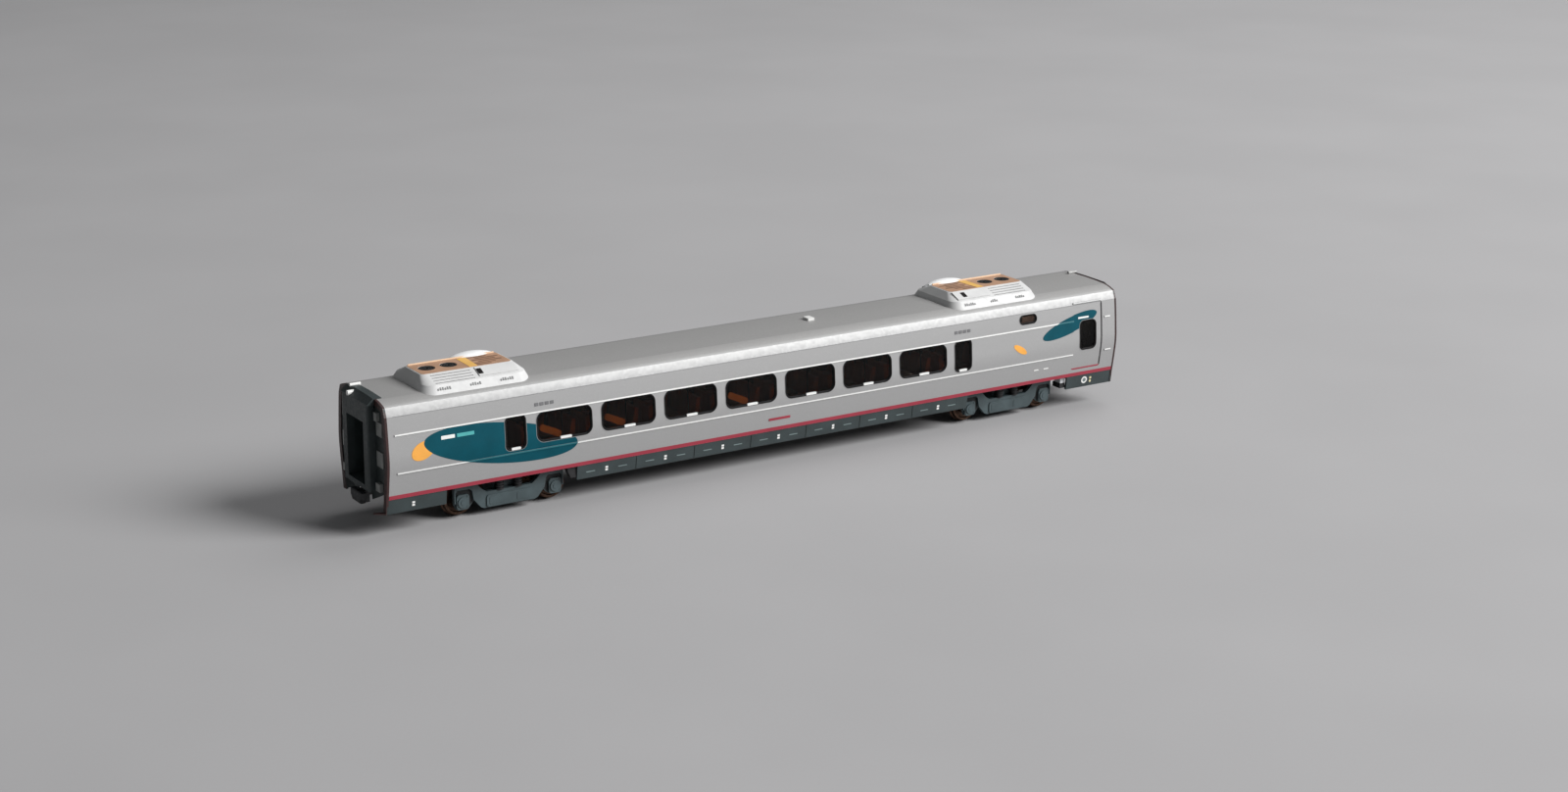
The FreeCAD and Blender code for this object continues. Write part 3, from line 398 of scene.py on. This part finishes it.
def fill(keep, holes, step):
    """Triangles inside every loop of keep and outside every hole, with points no further apart than step."""
    keep = [divided(loop) for loop in keep]
    holes = [divided(loop) for loop in holes]
    points, edges = [], []
    for loop in keep + holes:
        first = len(points)
        points += [Vector(p) for p in loop]
        edges += [(first + i, first + (i + 1) % len(loop)) for i in range(len(loop))]
    low = [max(min(p[a] for p in loop) for loop in keep) for a in (0, 1)]
    high = [min(max(p[a] for p in loop) for loop in keep) for a in (0, 1)]

    def wanted(point):
        return all(inside(point, loop) for loop in keep) and not any(inside(point, loop) for loop in holes)

    for z in steps(low[1], high[1], step):
        for x in steps(low[0], high[0], 2.5 * step):
            if wanted((x, z)):
                points.append(Vector((x, z)))
    verts, _, faces = geometry.delaunay_2d_cdt(points, edges, [], 0, 1e-5)[:3]
    chosen = []
    for face in faces:
        middle = sum((verts[i] for i in face), Vector((0, 0))) / len(face)
        if wanted(middle):
            chosen.append(face)
    return verts, chosen


def slab(flat, faces, raise_point, thickness):
    """Closed thin solid over flat triangles. raise_point(point, height) gives a place in millimetres."""
    used = sorted({i for face in faces for i in face})
    order = {old: new for new, old in enumerate(used)}
    count = len(used)
    top = [raise_point(flat[i], 0.0) for i in used]
    low = [raise_point(flat[i], -thickness) for i in used]
    verts = [tuple(c * MM for c in p) for p in top + low]
    made = []
    borders = {}
    for face in faces:
        ring = [order[i] for i in face]
        made.append(ring)
        made.append([i + count for i in reversed(ring)])
        for a, b in zip(ring, ring[1:] + ring[:1]):
            if (b, a) in borders:
                del borders[(b, a)]
            else:
                borders[(a, b)] = True
    made += [[b, a, a + count, b + count] for a, b in borders]
    return verts, made


class Slabs:
    """Thin solids gathered into one mesh."""

    def __init__(self):
        self.verts = []
        self.faces = []

    def add(self, flat, triangles, raise_point, thickness, mirrored):
        verts, faces = slab(flat, triangles, raise_point, thickness)
        if mirrored:
            faces = [face[::-1] for face in faces]
        self.faces += [[i + len(self.verts) for i in face] for face in faces]
        self.verts += verts

    def add_both_sides(self, flat, triangles, place, thickness):
        """place(point, height) gives a place on the near side, with its half width in the middle."""
        for side in (NEAR, FAR):
            def raise_point(point, height, side=side):
                x, half_width, z = place(point, height)
                return x, side * half_width, z

            self.add(flat, triangles, raise_point, thickness, side == FAR)


def patch(name, keep, holes, wall, material, lift=0.09, thickness=0.16, step=1.0):
    """Paint or print on both side walls: a thin solid with a crisp outline in x and z."""
    def place(point, height):
        return point[0], wall.reach(point[1]) + lift + height, point[1]

    slabs = Slabs()
    flat, triangles = fill(keep, holes, step)
    slabs.add_both_sides(flat, triangles, place, thickness)
    add_piece(name, slabs.verts, slabs.faces, material)


def round_corners(corners, radius, parts=6):
    """Closed loop with each corner of a polygon rounded."""
    loop = []
    count = len(corners)
    for i, corner in enumerate(corners):
        here = Vector(corner)
        before = (Vector(corners[i - 1]) - here).normalized()
        after = (Vector(corners[(i + 1) % count]) - here).normalized()
        half = before.angle(after) / 2
        reach = radius / math.tan(half)
        centre = here + (before + after).normalized() * (radius / math.sin(half))
        start = here + before * reach - centre
        end = here + after * reach - centre
        turn = start.angle_signed(end)
        for k in range(parts + 1):
            a = turn * k / parts
            c, s = math.cos(a), -math.sin(a)
            loop.append((centre.x + start.x * c - start.y * s, centre.y + start.x * s + start.y * c))
    return loop


def rectangle(x, z, radius=0.0, parts=6):
    """Loop from a (low, high) pair in x and one in z, with rounded corners if there is a radius."""
    corners = [(x[0], z[0]), (x[1], z[0]), (x[1], z[1]), (x[0], z[1])]
    return round_corners(corners, radius, parts) if radius else corners


def disc(x, z, radius, parts=24):
    """Loop of a circle."""
    return [(x + radius * math.cos(2 * math.pi * k / parts), z + radius * math.sin(2 * math.pi * k / parts))
            for k in range(parts)]


def ring_sweep(name, loops, section, wall, material):
    """Closed mouldings that follow loops on both side walls.

    section is a list of (outward, proud) points; outward is away from the middle of the loop."""
    verts, faces = [], []
    for loop in loops:
        loop = divided(loop)
        count = len(loop)
        normals = []
        for i in range(count):
            a, b = Vector(loop[i - 1]), Vector(loop[(i + 1) % count])
            along = (b - a).normalized()
            normals.append(Vector((along.y, -along.x)))
        for side in (NEAR, FAR):
            base = len(verts)
            for point, normal in zip(loop, normals):
                for outward, proud in section:
                    x = point[0] + normal.x * outward
                    z = point[1] + normal.y * outward
                    verts.append((x * MM, side * (wall.reach(z) + proud) * MM, z * MM))
            size = len(section)
            for i in range(count):
                for k in range(size):
                    a = base + i * size + k
                    b = base + i * size + (k + 1) % size
                    c = base + ((i + 1) % count) * size + (k + 1) % size
                    d = base + ((i + 1) % count) * size + k
                    faces.append([a, b, c, d] if side == NEAR else [d, c, b, a])
    add_piece(name, verts, faces, material)


# ---------------------------------------------------------------- places on the shell

BODY_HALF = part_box("body_shell")[1].x / MM
DOOR_X = (130.2, 143.9)
side_wall = Wall("body_shell", -149.0)      # an upright line with no rib or window
rib_wall = Wall("body_shell", -0.3)         # one that crosses the ribs
door_wall = Wall("body_shell", 131.6)       # one on the door
skirt_wall = Wall("centre_skirt_near", 0.0)

# windows are (middle, width, (lower edge, upper edge), corner radius), as in the CAD part
WINDOW_PITCH = 24.5
FIRST_WINDOW_X = -86.2
WIDE = [(FIRST_WINDOW_X + WINDOW_PITCH * i, 20.2, (24.5, 34.1), 2.5) for i in range(7)]
NARROW = [(x, 7.0, (23.3, 34.4), 1.6) for x in (-104.45, 78.75)]
DOOR_WINDOW = (137.25, 7.1, (23.4, 34.0), 1.6)
SLOT_WINDOW = (108.85, 7.3, (36.9, 39.7), 1.35)
RIM = [(0.42, -0.15), (0.42, 0.06), (0.47, 0.10), (0.56, 0.10), (0.64, 0.01), (0.64, -0.15)]
GASKET = [(-0.30, -0.42), (-0.30, -0.24), (-0.08, -0.02), (0.06, 0.09), (0.46, 0.09), (0.46, -0.10),
          (0.0, -0.10), (0.0, -0.42)]
WIDE_TAB, NARROW_TAB = (4.2, 0.4), (3.4, 0.0)    # width, and how far it sits from the window's middle
TAB_BELOW, TAB_ABOVE = 0.25, 0.55
TAB_LIFT, TAB_THICKNESS = 0.22, 0.55
WINDOW_BAR_HALF = 0.2
BEHIND_GLASS = 2.1
COVERED_SEATS = (0, 1, 3)                        # windows with a seat cover that shows
SEAT_COVER = ((2.9, 28.2), (8.6, 25.6))          # its ends, from the window's left edge
SEAT_COVER_HALF = 1.15


def opening(window, margin=0.0):
    """Loop of a window opening, larger all round by margin."""
    x, width, (z0, z1), radius = window
    half = width / 2 + margin
    return rectangle((x - half, x + half), (z0 - margin, z1 + margin), radius + margin, 8)


# ---------------------------------------------------------------- windows

def window_trim():
    """Dark gasket round each window inside a slim silver rim."""
    for name, windows, wall in (("window_", WIDE + NARROW + [SLOT_WINDOW], side_wall),
                                ("door_window_", [DOOR_WINDOW], door_wall)):
        loops = [opening(window) for window in windows]
        ring_sweep(name + "rims", loops, RIM, wall, materials["body_silver"])
        ring_sweep(name + "gaskets", loops, GASKET, wall, LIVERY["gasket"])


def window_tabs():
    """White tab on the lower edge of each window."""
    slabs = Slabs()
    for windows, (width, shift) in ((WIDE, WIDE_TAB), (NARROW, NARROW_TAB)):
        for x, _, (low, _), _ in windows:
            def place(point, height, low=low):
                return point[0], side_wall.reach(low) + TAB_LIFT + height, point[1]

            middle = x + shift
            loop = rectangle((middle - width / 2, middle + width / 2), (low - TAB_BELOW, low + TAB_ABOVE),
                             0.18, 3)
            flat, triangles = fill([loop], [], 1.0)
            slabs.add_both_sides(flat, triangles, place, TAB_THICKNESS)
    add_piece("window_tabs", slabs.verts, slabs.faces, LIVERY["white"])


def capsule(start, end, radius, parts=8):
    """Rounded bar from start to end."""
    angle = math.atan2(end[1] - start[1], end[0] - start[0])
    loop = []
    for centre, first in ((end, angle - math.pi / 2), (start, angle + math.pi / 2)):
        for k in range(parts + 1):
            a = first + math.pi * k / parts
            loop.append((centre[0] + radius * math.cos(a), centre[1] + radius * math.sin(a)))
    return loop


def behind_glass():
    """A dark upright bar behind the middle of each wide window, and seat covers that lean on some of them."""
    for number, (x, _, (low, high), _) in enumerate(WIDE):
        bar = rectangle((x - WINDOW_BAR_HALF, x + WINDOW_BAR_HALF),
                        (low - WINDOW_BAR_HALF, high + WINDOW_BAR_HALF))
        patch("window_bar_%d" % number, [bar], [], side_wall, LIVERY["gasket"], lift=0.04 - BEHIND_GLASS,
              thickness=0.3)
    for number in COVERED_SEATS:
        left = WIDE[number][0] - WIDE[number][1] / 2
        start, end = [(left + x, z) for x, z in SEAT_COVER]
        cover = capsule(start, end, SEAT_COVER_HALF)
        patch("seat_cover_%d" % number, [cover], [], side_wall, LIVERY["cover"], lift=-BEHIND_GLASS,
              thickness=0.6)


# ---------------------------------------------------------------- livery

def ellipse(x, z, half_length, half_width, tilt, parts=64):
    """Loop of an ellipse, tilted by degrees."""
    c, n = math.cos(math.radians(tilt)), math.sin(math.radians(tilt))
    loop = []
    for k in range(parts):
        a = 2 * math.pi * k / parts
        u, v = half_length * math.cos(a), half_width * math.sin(a)
        loop.append((x + u * c - v * n, z + u * n + v * c))
    return loop


TEAL_A = ellipse(-109.5, 26.2, 28.5, 7.0, -9.0)
ORANGE_A = ellipse(-138.0, 28.2, 4.4, 2.9, 24.0, 40)
TEAL_B = ellipse(128.6, 33.4, 13.4, 3.0, 15.0)
ORANGE_B = ellipse(105.0, 27.4, 3.4, 1.2, -32.0, 32)
RIB_HALF = 0.24
UPPER_RIB, LOWER_RIB = 34.65, 21.8
WHOLE_SIDE = (-150, 150)
# The white on the ribs is edge paint that also stands as a painted highlight where the edges catch the light.
RIB_WHITE_AND_HIGHLIGHT = {                    # height, painted spans and the ellipse that crosses the rib
    "upper": (UPPER_RIB, ((-147.8, -97.0), (-97.0, 130.1), (145.0, 147.5)), TEAL_B),
    "lower": (LOWER_RIB, ((-147.3, 130.1), (145.4, 148.2)), TEAL_A),
}
TRIM_WIDTH = 0.6                 # paint stops this far from a window
DOOR_FLAT = rectangle((DOOR_X[0] + 0.05, DOOR_X[1] - 0.5), (15.6, 40.9))
BEFORE_DOOR = rectangle((100.0, DOOR_X[0] - 0.02), (20.0, 40.0))
RED_STRIPE_Z = (12.85, 14.2)
DOOR_SILL_Z = (15.55, 16.0)


def rib_band(z, x, margin=0.0):
    """Loop along a rib over an x span."""
    return rectangle(x, (z - RIB_HALF - margin, z + RIB_HALF + margin))


def paint_body():
    """Two teal and two orange ellipses on each side, and the red stripe along the lower edge."""
    holes = [opening(window, TRIM_WIDTH) for window in WIDE + NARROW]
    door_hole = [opening(DOOR_WINDOW, TRIM_WIDTH)]
    lower_gap = rib_band(LOWER_RIB, WHOLE_SIDE, 0.02)
    patch("livery_teal_a", [TEAL_A], holes + [lower_gap], side_wall, LIVERY["teal"])
    # Painted highlight: lighter teal along the lower rib where its edge catches the light.
    patch("livery_teal_rib_highlight", [rib_band(LOWER_RIB, (-135, -78)), TEAL_A], [], rib_wall, LIVERY["rib_highlight_teal"],
          thickness=0.25, step=2.0)
    patch("livery_orange_a", [ORANGE_A], [TEAL_A], side_wall, LIVERY["orange"])
    patch("livery_teal_b", [TEAL_B, BEFORE_DOOR], [rib_band(UPPER_RIB, WHOLE_SIDE)], side_wall,
          LIVERY["teal"])
    # Painted highlight: lighter teal along the upper rib where its edge catches the light.
    patch("livery_teal_b_rib_highlight", [rib_band(UPPER_RIB, (112, DOOR_X[0] - 0.1)), TEAL_B], [], rib_wall,
          LIVERY["rib_highlight_teal"], thickness=0.25, step=2.0)
    patch("livery_teal_door", [TEAL_B, DOOR_FLAT], door_hole, door_wall, LIVERY["teal"])
    patch("livery_orange_b", [ORANGE_B], [], side_wall, LIVERY["orange"])
    stripe = rectangle((-BODY_HALF + 0.05, BODY_HALF - 0.05), RED_STRIPE_Z)
    patch("stripe_red", [stripe], [], side_wall, LIVERY["red"], step=0.7)
    sill = rectangle((DOOR_X[0] + 0.1, DOOR_X[1] - 0.1), DOOR_SILL_Z, 0.05, 1)
    patch("stripe_door_sill", [sill], [], door_wall, LIVERY["red"], lift=0.25, thickness=0.24, step=0.7)


def paint_rib_edges_and_highlights():
    """White edges of the raised ribs, also a painted highlight where the edges catch the light, except where
    an ellipse crosses them.
    """
    for name, (z, spans, crossing) in RIB_WHITE_AND_HIGHLIGHT.items():
        for number, span in enumerate(spans):
            patch("rib_%s_%d" % (name, number), [rib_band(z, span)], [crossing], rib_wall, LIVERY["white"],
                  lift=0.08, thickness=0.18, step=2.0)


def bars_from(start):
    """Spans of the four bars that stand for a number."""
    return [(start + 1.9 * i, start + 1.4 + 1.9 * i) for i in range(4)]


PLAIN_BARS = (                   # name, x spans, z span, wall and paint
    ("bar_class", [(-131.5, -126.6)], (30.8, 32.0), side_wall, "white"),
    ("bar_class_pale", [(-125.8, -119.6)], (30.8, 32.0), side_wall, "light_teal"),
    ("bar_door", [(132.6, 137.6)], (35.2, 35.9), door_wall, "white"),
    ("bar_number_a", bars_from(-97.0), (36.6, 37.7), side_wall, "grey"),
    ("bar_number_b", bars_from(75.1), (37.2, 38.3), side_wall, "grey"),
    ("bar_red", [(-4.9, 4.0)], (16.9, 17.8), side_wall, "red"),
    ("bar_low", [(112.2, 114.4), (116.8, 119.0)], (17.9, 18.3), side_wall, "white"),
)


def plain_marks():
    """Plain bars where the real model carries print, with no lettering."""
    for name, spans, z, wall, colour in PLAIN_BARS:
        for number, span in enumerate(spans):
            patch("%s_%d" % (name, number), [rectangle(span, z, 0.12, 2)], [], wall, LIVERY[colour], 0.13)


MARK_PITCH = 23.1
MARKS_X = [MARK_PITCH * i for i in range(-3, 4)]
END_MARK_X = -141.1
MARK_STEPS = ((9.35, 10.05), (10.3, 11.0))
SEAM_Z, DASH_Z = (7.9, 12.6), (9.9, 10.25)
DASH_OFFSET = 6.2
LABEL = (137.6, 10.5)
DOTS_X, DOTS_Z = 140.5, (11.0, 9.7)


def skirt_details():
    """Panel seams, light dashes and small pale marks on the skirts."""
    def on_skirt(name, loops, colour, lift=0.09, holes=()):
        for number, loop in enumerate(loops):
            patch("%s_%d" % (name, number), [loop], list(holes), skirt_wall, LIVERY[colour], lift)

    def bar(x, half, z):
        return rectangle((x - half, x + half), z, 0.1, 2)

    seams = [bar(x + MARK_PITCH / 2, 0.1, SEAM_Z) for x in MARKS_X[:-1]]
    marks = [bar(x, 0.5, z) for x in MARKS_X + [END_MARK_X] for z in MARK_STEPS]
    dashes = [bar(x + side * DASH_OFFSET, 1.7, DASH_Z) for x in MARKS_X for side in (-1, 1)]
    on_skirt("skirt_seam", seams, "gasket", 0.05)
    on_skirt("skirt_mark", marks, "white")
    on_skirt("skirt_dash", dashes, "dash")
    on_skirt("skirt_label", [disc(*LABEL, 1.35)], "white", holes=[disc(*LABEL, 0.8)])
    on_skirt("skirt_label_middle", [disc(*LABEL, 0.62)], "dash")
    on_skirt("skirt_dots", [disc(DOTS_X, z, 0.5) for z in DOTS_Z], "cream")


# ---------------------------------------------------------------- roof units

# Loops on a unit have x from its middle, with the fans at negative x, and y or distance from its far side.
UNITS = {"a": (-115.4, 1), "b": (97.8, -1)}    # middle, and which way a loop's x runs
UNIT_TOP, DECK_HALF, DECK_HALF_WIDTH = 49.7, 16.8, 6.5
SLOPE_FOOT = (12.3, 47.3)            # where the gentle slope meets the steep one
BASE_FOOT = (14.6, 44.6)
PANEL_PROUD = 0.3
FANS = (-11.8, -3.9)
FAN_R = 2.9
FAN_RING_RADII = (2.75, 1.95, 1.15)
FAN_RING_WIDTH = 0.45
LOUVRE_X = (-14.1, 0.1)
LOUVRE_STEPS = (1.0, 2.4, 3.8, 5.2)
STREAKS = ((-4.9, 9.6), (-3.2, 12.0), (-1.5, 15.0), (0.3, 13.4), (2.1, 15.4), (3.8, 11.8))
STREAK_LENGTH, STREAK_HALF = 8.6, 0.45
AMBER_PATCH = [(1.0, -5.9), (3.9, -5.9), (4.7, 4.9), (1.4, 4.9)]
SLOTS = {"a": (2.1, 3.9), "b": (11.6, 13.4)}
SLOT_STEPS = (-4.3, -1.5)
TICKS = {"a": ((-14.2, -9.0), (-2.4, 2.1), (8.6, 14.4)), "b": ((10.0, 15.4), (0.0, 3.8), (-12.4, -8.0))}
TICK_PITCH, TICK_WIDTH = 0.85, 0.4
TICK_STEP = -2.0
TICK_HEIGHTS = (0.7, 1.0, 1.0)       # they repeat in this order


def on_line(start, end, distance, proud):
    """Half width and height at a distance down a slope from its upper edge."""
    along = (Vector(end) - Vector(start)).normalized()
    normal = Vector((-along.y, along.x))
    return Vector(start) + along * distance + normal * proud


def on_deck(x, y, height):
    return x, y, UNIT_TOP + height


def on_slope(x, distance, height):
    y, z = on_line((DECK_HALF_WIDTH, UNIT_TOP), SLOPE_FOOT, -distance, height)
    return x, -y, z


def on_panel(x, distance, height):
    return on_slope(x, distance, height + PANEL_PROUD)


def on_foot(x, distance, height):
    y, z = on_line(SLOPE_FOOT, BASE_FOOT, -distance, height)
    return x, -y, z


def roof_patch(name, loops, place, material, lift=0.09, thickness=0.16, holes=(), units="ab"):
    """Paint on the roof units. place(u, v, height) turns a point of a loop into a place on a unit."""
    slabs = Slabs()
    for loop in loops:
        flat, triangles = fill([loop], list(holes), 1.0)
        for unit in units:
            middle, way = UNITS[unit]

            def raise_point(point, height, middle=middle, way=way):
                x, y, z = place(point[0], point[1], lift + height)
                return middle + way * x, y, z

            slabs.add(flat, triangles, raise_point, thickness, way < 0)
    add_piece(name, slabs.verts, slabs.faces, material)


def unit_details():
    """Painted deck with streaks, fan grilles whose dark rings are painted shade, and plain marks on the near
    slopes.
    """
    half, half_width = DECK_HALF - 0.4, DECK_HALF_WIDTH - 0.3
    deck = rectangle((-half, half), (-half_width, half_width), 1.2)
    wells = [disc(x, 0, FAN_R + 0.05, 32) for x in FANS]
    roof_patch("deck_paint", [deck], on_deck, LIVERY["copper"], holes=wells)
    streaks = [rectangle((x - STREAK_LENGTH, x), (y - STREAK_HALF, y + STREAK_HALF), 0.3, 3)
               for y, x in STREAKS]
    roof_patch("deck_streaks", streaks, on_deck, LIVERY["streak"], 0.13)
    roof_patch("deck_amber", [AMBER_PATCH], on_deck, LIVERY["amber"], 0.17)
    louvres = [rectangle(LOUVRE_X, (-step - 0.38, -step - 0.02)) for step in LOUVRE_STEPS]
    roof_patch("louvre_shadow", louvres, on_slope, LIVERY["grey"], -0.24, 0.1)
    far_edge = rectangle((-half + 0.6, half - 0.6), (half_width - 0.5, half_width - 0.1), 0.15, 2)
    roof_patch("deck_lip", [far_edge], on_deck, LIVERY["lip"], 0.45, 0.5)
    # The black fan rings are painted shade in the grille openings.
    for number, radius in enumerate(FAN_RING_RADII):
        for index, x in enumerate(FANS):
            hole = disc(x, 0, radius - FAN_RING_WIDTH, 32)
            roof_patch("fan_ring_%d_%d" % (number, index), [disc(x, 0, radius, 32)], on_deck,
                       LIVERY["shadow"], 0.02, holes=[hole])
    for unit in UNITS:
        # The dark slot is painted shade in the opening at the panel's end.
        slot = rectangle(SLOTS[unit], SLOT_STEPS, 0.2, 2)
        roof_patch("panel_slot_" + unit, [slot], on_panel, LIVERY["gasket"], units=unit)
        ticks = []
        for start, end in TICKS[unit]:
            for number in range(int((end - start) / TICK_PITCH)):
                x = start + TICK_PITCH * number
                height = TICK_HEIGHTS[number % len(TICK_HEIGHTS)]
                ticks.append(rectangle((x, x + TICK_WIDTH), (TICK_STEP, TICK_STEP + height)))
        roof_patch("unit_ticks_" + unit, ticks, on_foot, LIVERY["tick"], units=unit)


# ---------------------------------------------------------------- bogies

PIVOT_X = 104.25
HALF_WHEELBASE = 17.2
AXLE_Z = 5.95
SIDE_BACK, SIDE_FRONT, BOX_FRONT = 12.1, 13.0, 13.4      # faces of the side frames
ARCH = [(19.6, 3.9), (19.8, 9.3), (19.1, 10.1), (14.7, 10.1), (13.9, 9.3), (13.3, 6.2), (13.2, 5.5),
        (14.6, 4.0), (16.3, 3.2), (18.1, 3.2)]
BOLT_OFFSET, BOLTS_Z = 1.75, (4.2, 7.9)
PLATE_X, PLATE_Z = (2.6, 7.6), (3.7, 6.2)


def bogie_patch(name, loops, y, material, thickness=0.16):
    """Thin solids on the outer faces of both side frames of each bogie, mirrored about its pivot."""
    for end, pivot in (("a", -PIVOT_X), ("b", PIVOT_X)):
        def place(point, height, pivot=pivot):
            return pivot + point[0], y + height, point[1]

        slabs = Slabs()
        for loop in loops:
            flat, triangles = fill([loop], [], 2.0)
            slabs.add_both_sides(flat, triangles, place, thickness)
        add_piece("bogie_%s_%s" % (end, name), slabs.verts, slabs.faces, material, "bogie_" + end)


def both_ends(loop):
    """The loop, and the same loop at the other end of the bogie."""
    return [loop, [(-x, z) for x, z in loop][::-1]]


def bogie_details():
    """Painted shade in the openings round the axleboxes, and their bolts, round caps and plates."""
    grey = materials["bogie_grey"]
    # Black plates behind the arches are painted shade in the openings.
    bogie_patch("shadow", both_ends(ARCH), SIDE_BACK + 0.06, LIVERY["shadow"])
    bolts = []
    for x in (HALF_WHEELBASE - BOLT_OFFSET, HALF_WHEELBASE + BOLT_OFFSET):
        for z in BOLTS_Z:
            bolts += both_ends(disc(x, z, 0.28, 10))
    bogie_patch("bolts", bolts, SIDE_FRONT + 0.14, grey, 0.2)
    bogie_patch("caps", both_ends(disc(HALF_WHEELBASE, AXLE_Z, 0.95, 20)), BOX_FRONT + 0.12, grey, 0.2)
    bogie_patch("plates", both_ends(rectangle(PLATE_X, PLATE_Z, 0.4, 3)), BOX_FRONT + 0.10, grey, 0.2)


# ---------------------------------------------------------------- stage, light and camera

FLOOR_HALF = 6.0
FLOOR_GREY = (0.415, 0.41, 0.415)
WORLD_COLOUR = (0.80, 0.82, 0.84)
WORLD_STRENGTH = 0.16
LIGHTS = (                       # name, place, target, width and power
    ("key", (2.3, -2.4, 2.2), (0, 0, 0.02), 2.2, 218.0),
    ("overhead", (1.1, 0.5, 1.6), (0.1, 0, 0.02), 1.4, 9.0),
)


def make_stage():
    """Plain pale floor under the wheels."""
    corners = [(-FLOOR_HALF, -FLOOR_HALF, 0), (FLOOR_HALF, -FLOOR_HALF, 0), (FLOOR_HALF, FLOOR_HALF, 0),
               (-FLOOR_HALF, FLOOR_HALF, 0)]
    mesh = bpy.data.meshes.new("floor")
    mesh.from_pydata(corners, [], [(0, 1, 2, 3)])
    graph = Graph("floor_pale")
    tone = varied(graph, FLOOR_GREY, 0.02, 8.0)
    mesh.materials.append(graph.finish(tone, (0.7, 0.8), Specular_IOR_Level=0.2))
    floor = bpy.data.objects.new("floor", mesh)
    bpy.context.scene.collection.objects.link(floor)


def area_light(name, place, target, size, power):
    """Round soft light that points at the target."""
    data = bpy.data.lights.new(name, "AREA")
    data.shape = "DISK"
    data.size = size
    data.energy = power
    light = bpy.data.objects.new(name, data)
    light.location = place
    light.rotation_mode = "QUATERNION"
    light.rotation_quaternion = (Vector(target) - Vector(place)).to_track_quat("-Z", "Y")
    bpy.context.scene.collection.objects.link(light)


def make_lights():
    """Even studio light, a large key light in front on the right and a weak one overhead."""
    world = bpy.data.worlds.new("studio")
    world.use_nodes = True
    background = world.node_tree.nodes["Background"]
    background.inputs["Color"].default_value = (*WORLD_COLOUR, 1.0)
    background.inputs["Strength"].default_value = WORLD_STRENGTH
    bpy.context.scene.world = world
    for light in LIGHTS:
        area_light(*light)
    bpy.context.scene.view_settings.view_transform = "Standard"


CAMERA_AZIMUTH = math.radians(-33.06)
CAMERA_ELEVATION = math.radians(16.47)
CAMERA_ROLL = math.radians(0.57)
CAMERA_DISTANCE = 0.9716
CAMERA_TARGET = Vector((0.0131, 0.0, 0.01879))
CAMERA_LENS = 62.15


def make_camera():
    """Camera at the fitted angle, aimed at a point near the middle of the coach."""
    data = bpy.data.cameras.new("camera")
    data.lens = CAMERA_LENS
    data.sensor_width = 36.0
    data.clip_start, data.clip_end = 0.05, 50.0
    camera = bpy.data.objects.new("camera", data)
    flat = math.cos(CAMERA_ELEVATION)
    back = Vector((math.sin(CAMERA_AZIMUTH) * flat, -math.cos(CAMERA_AZIMUTH) * flat,
                   math.sin(CAMERA_ELEVATION)))
    right = (-back).cross(Vector((0, 0, 1))).normalized()
    up = right.cross(-back)
    rolled_right = math.cos(CAMERA_ROLL) * right + math.sin(CAMERA_ROLL) * up
    rolled_up = -math.sin(CAMERA_ROLL) * right + math.cos(CAMERA_ROLL) * up
    place = Matrix.Identity(4)
    for column, axis in enumerate((rolled_right, rolled_up, back, CAMERA_TARGET + back * CAMERA_DISTANCE)):
        for row in range(3):
            place[row][column] = axis[row]
    camera.matrix_world = place
    bpy.context.scene.collection.objects.link(camera)
    bpy.context.scene.camera = camera


# ---------------------------------------------------------------- build

window_trim()
window_tabs()
behind_glass()
paint_body()
paint_rib_edges_and_highlights()
plain_marks()
skirt_details()
unit_details()
bogie_details()
make_stage()
make_lights()
make_camera()

bpy.context.view_layer.update()
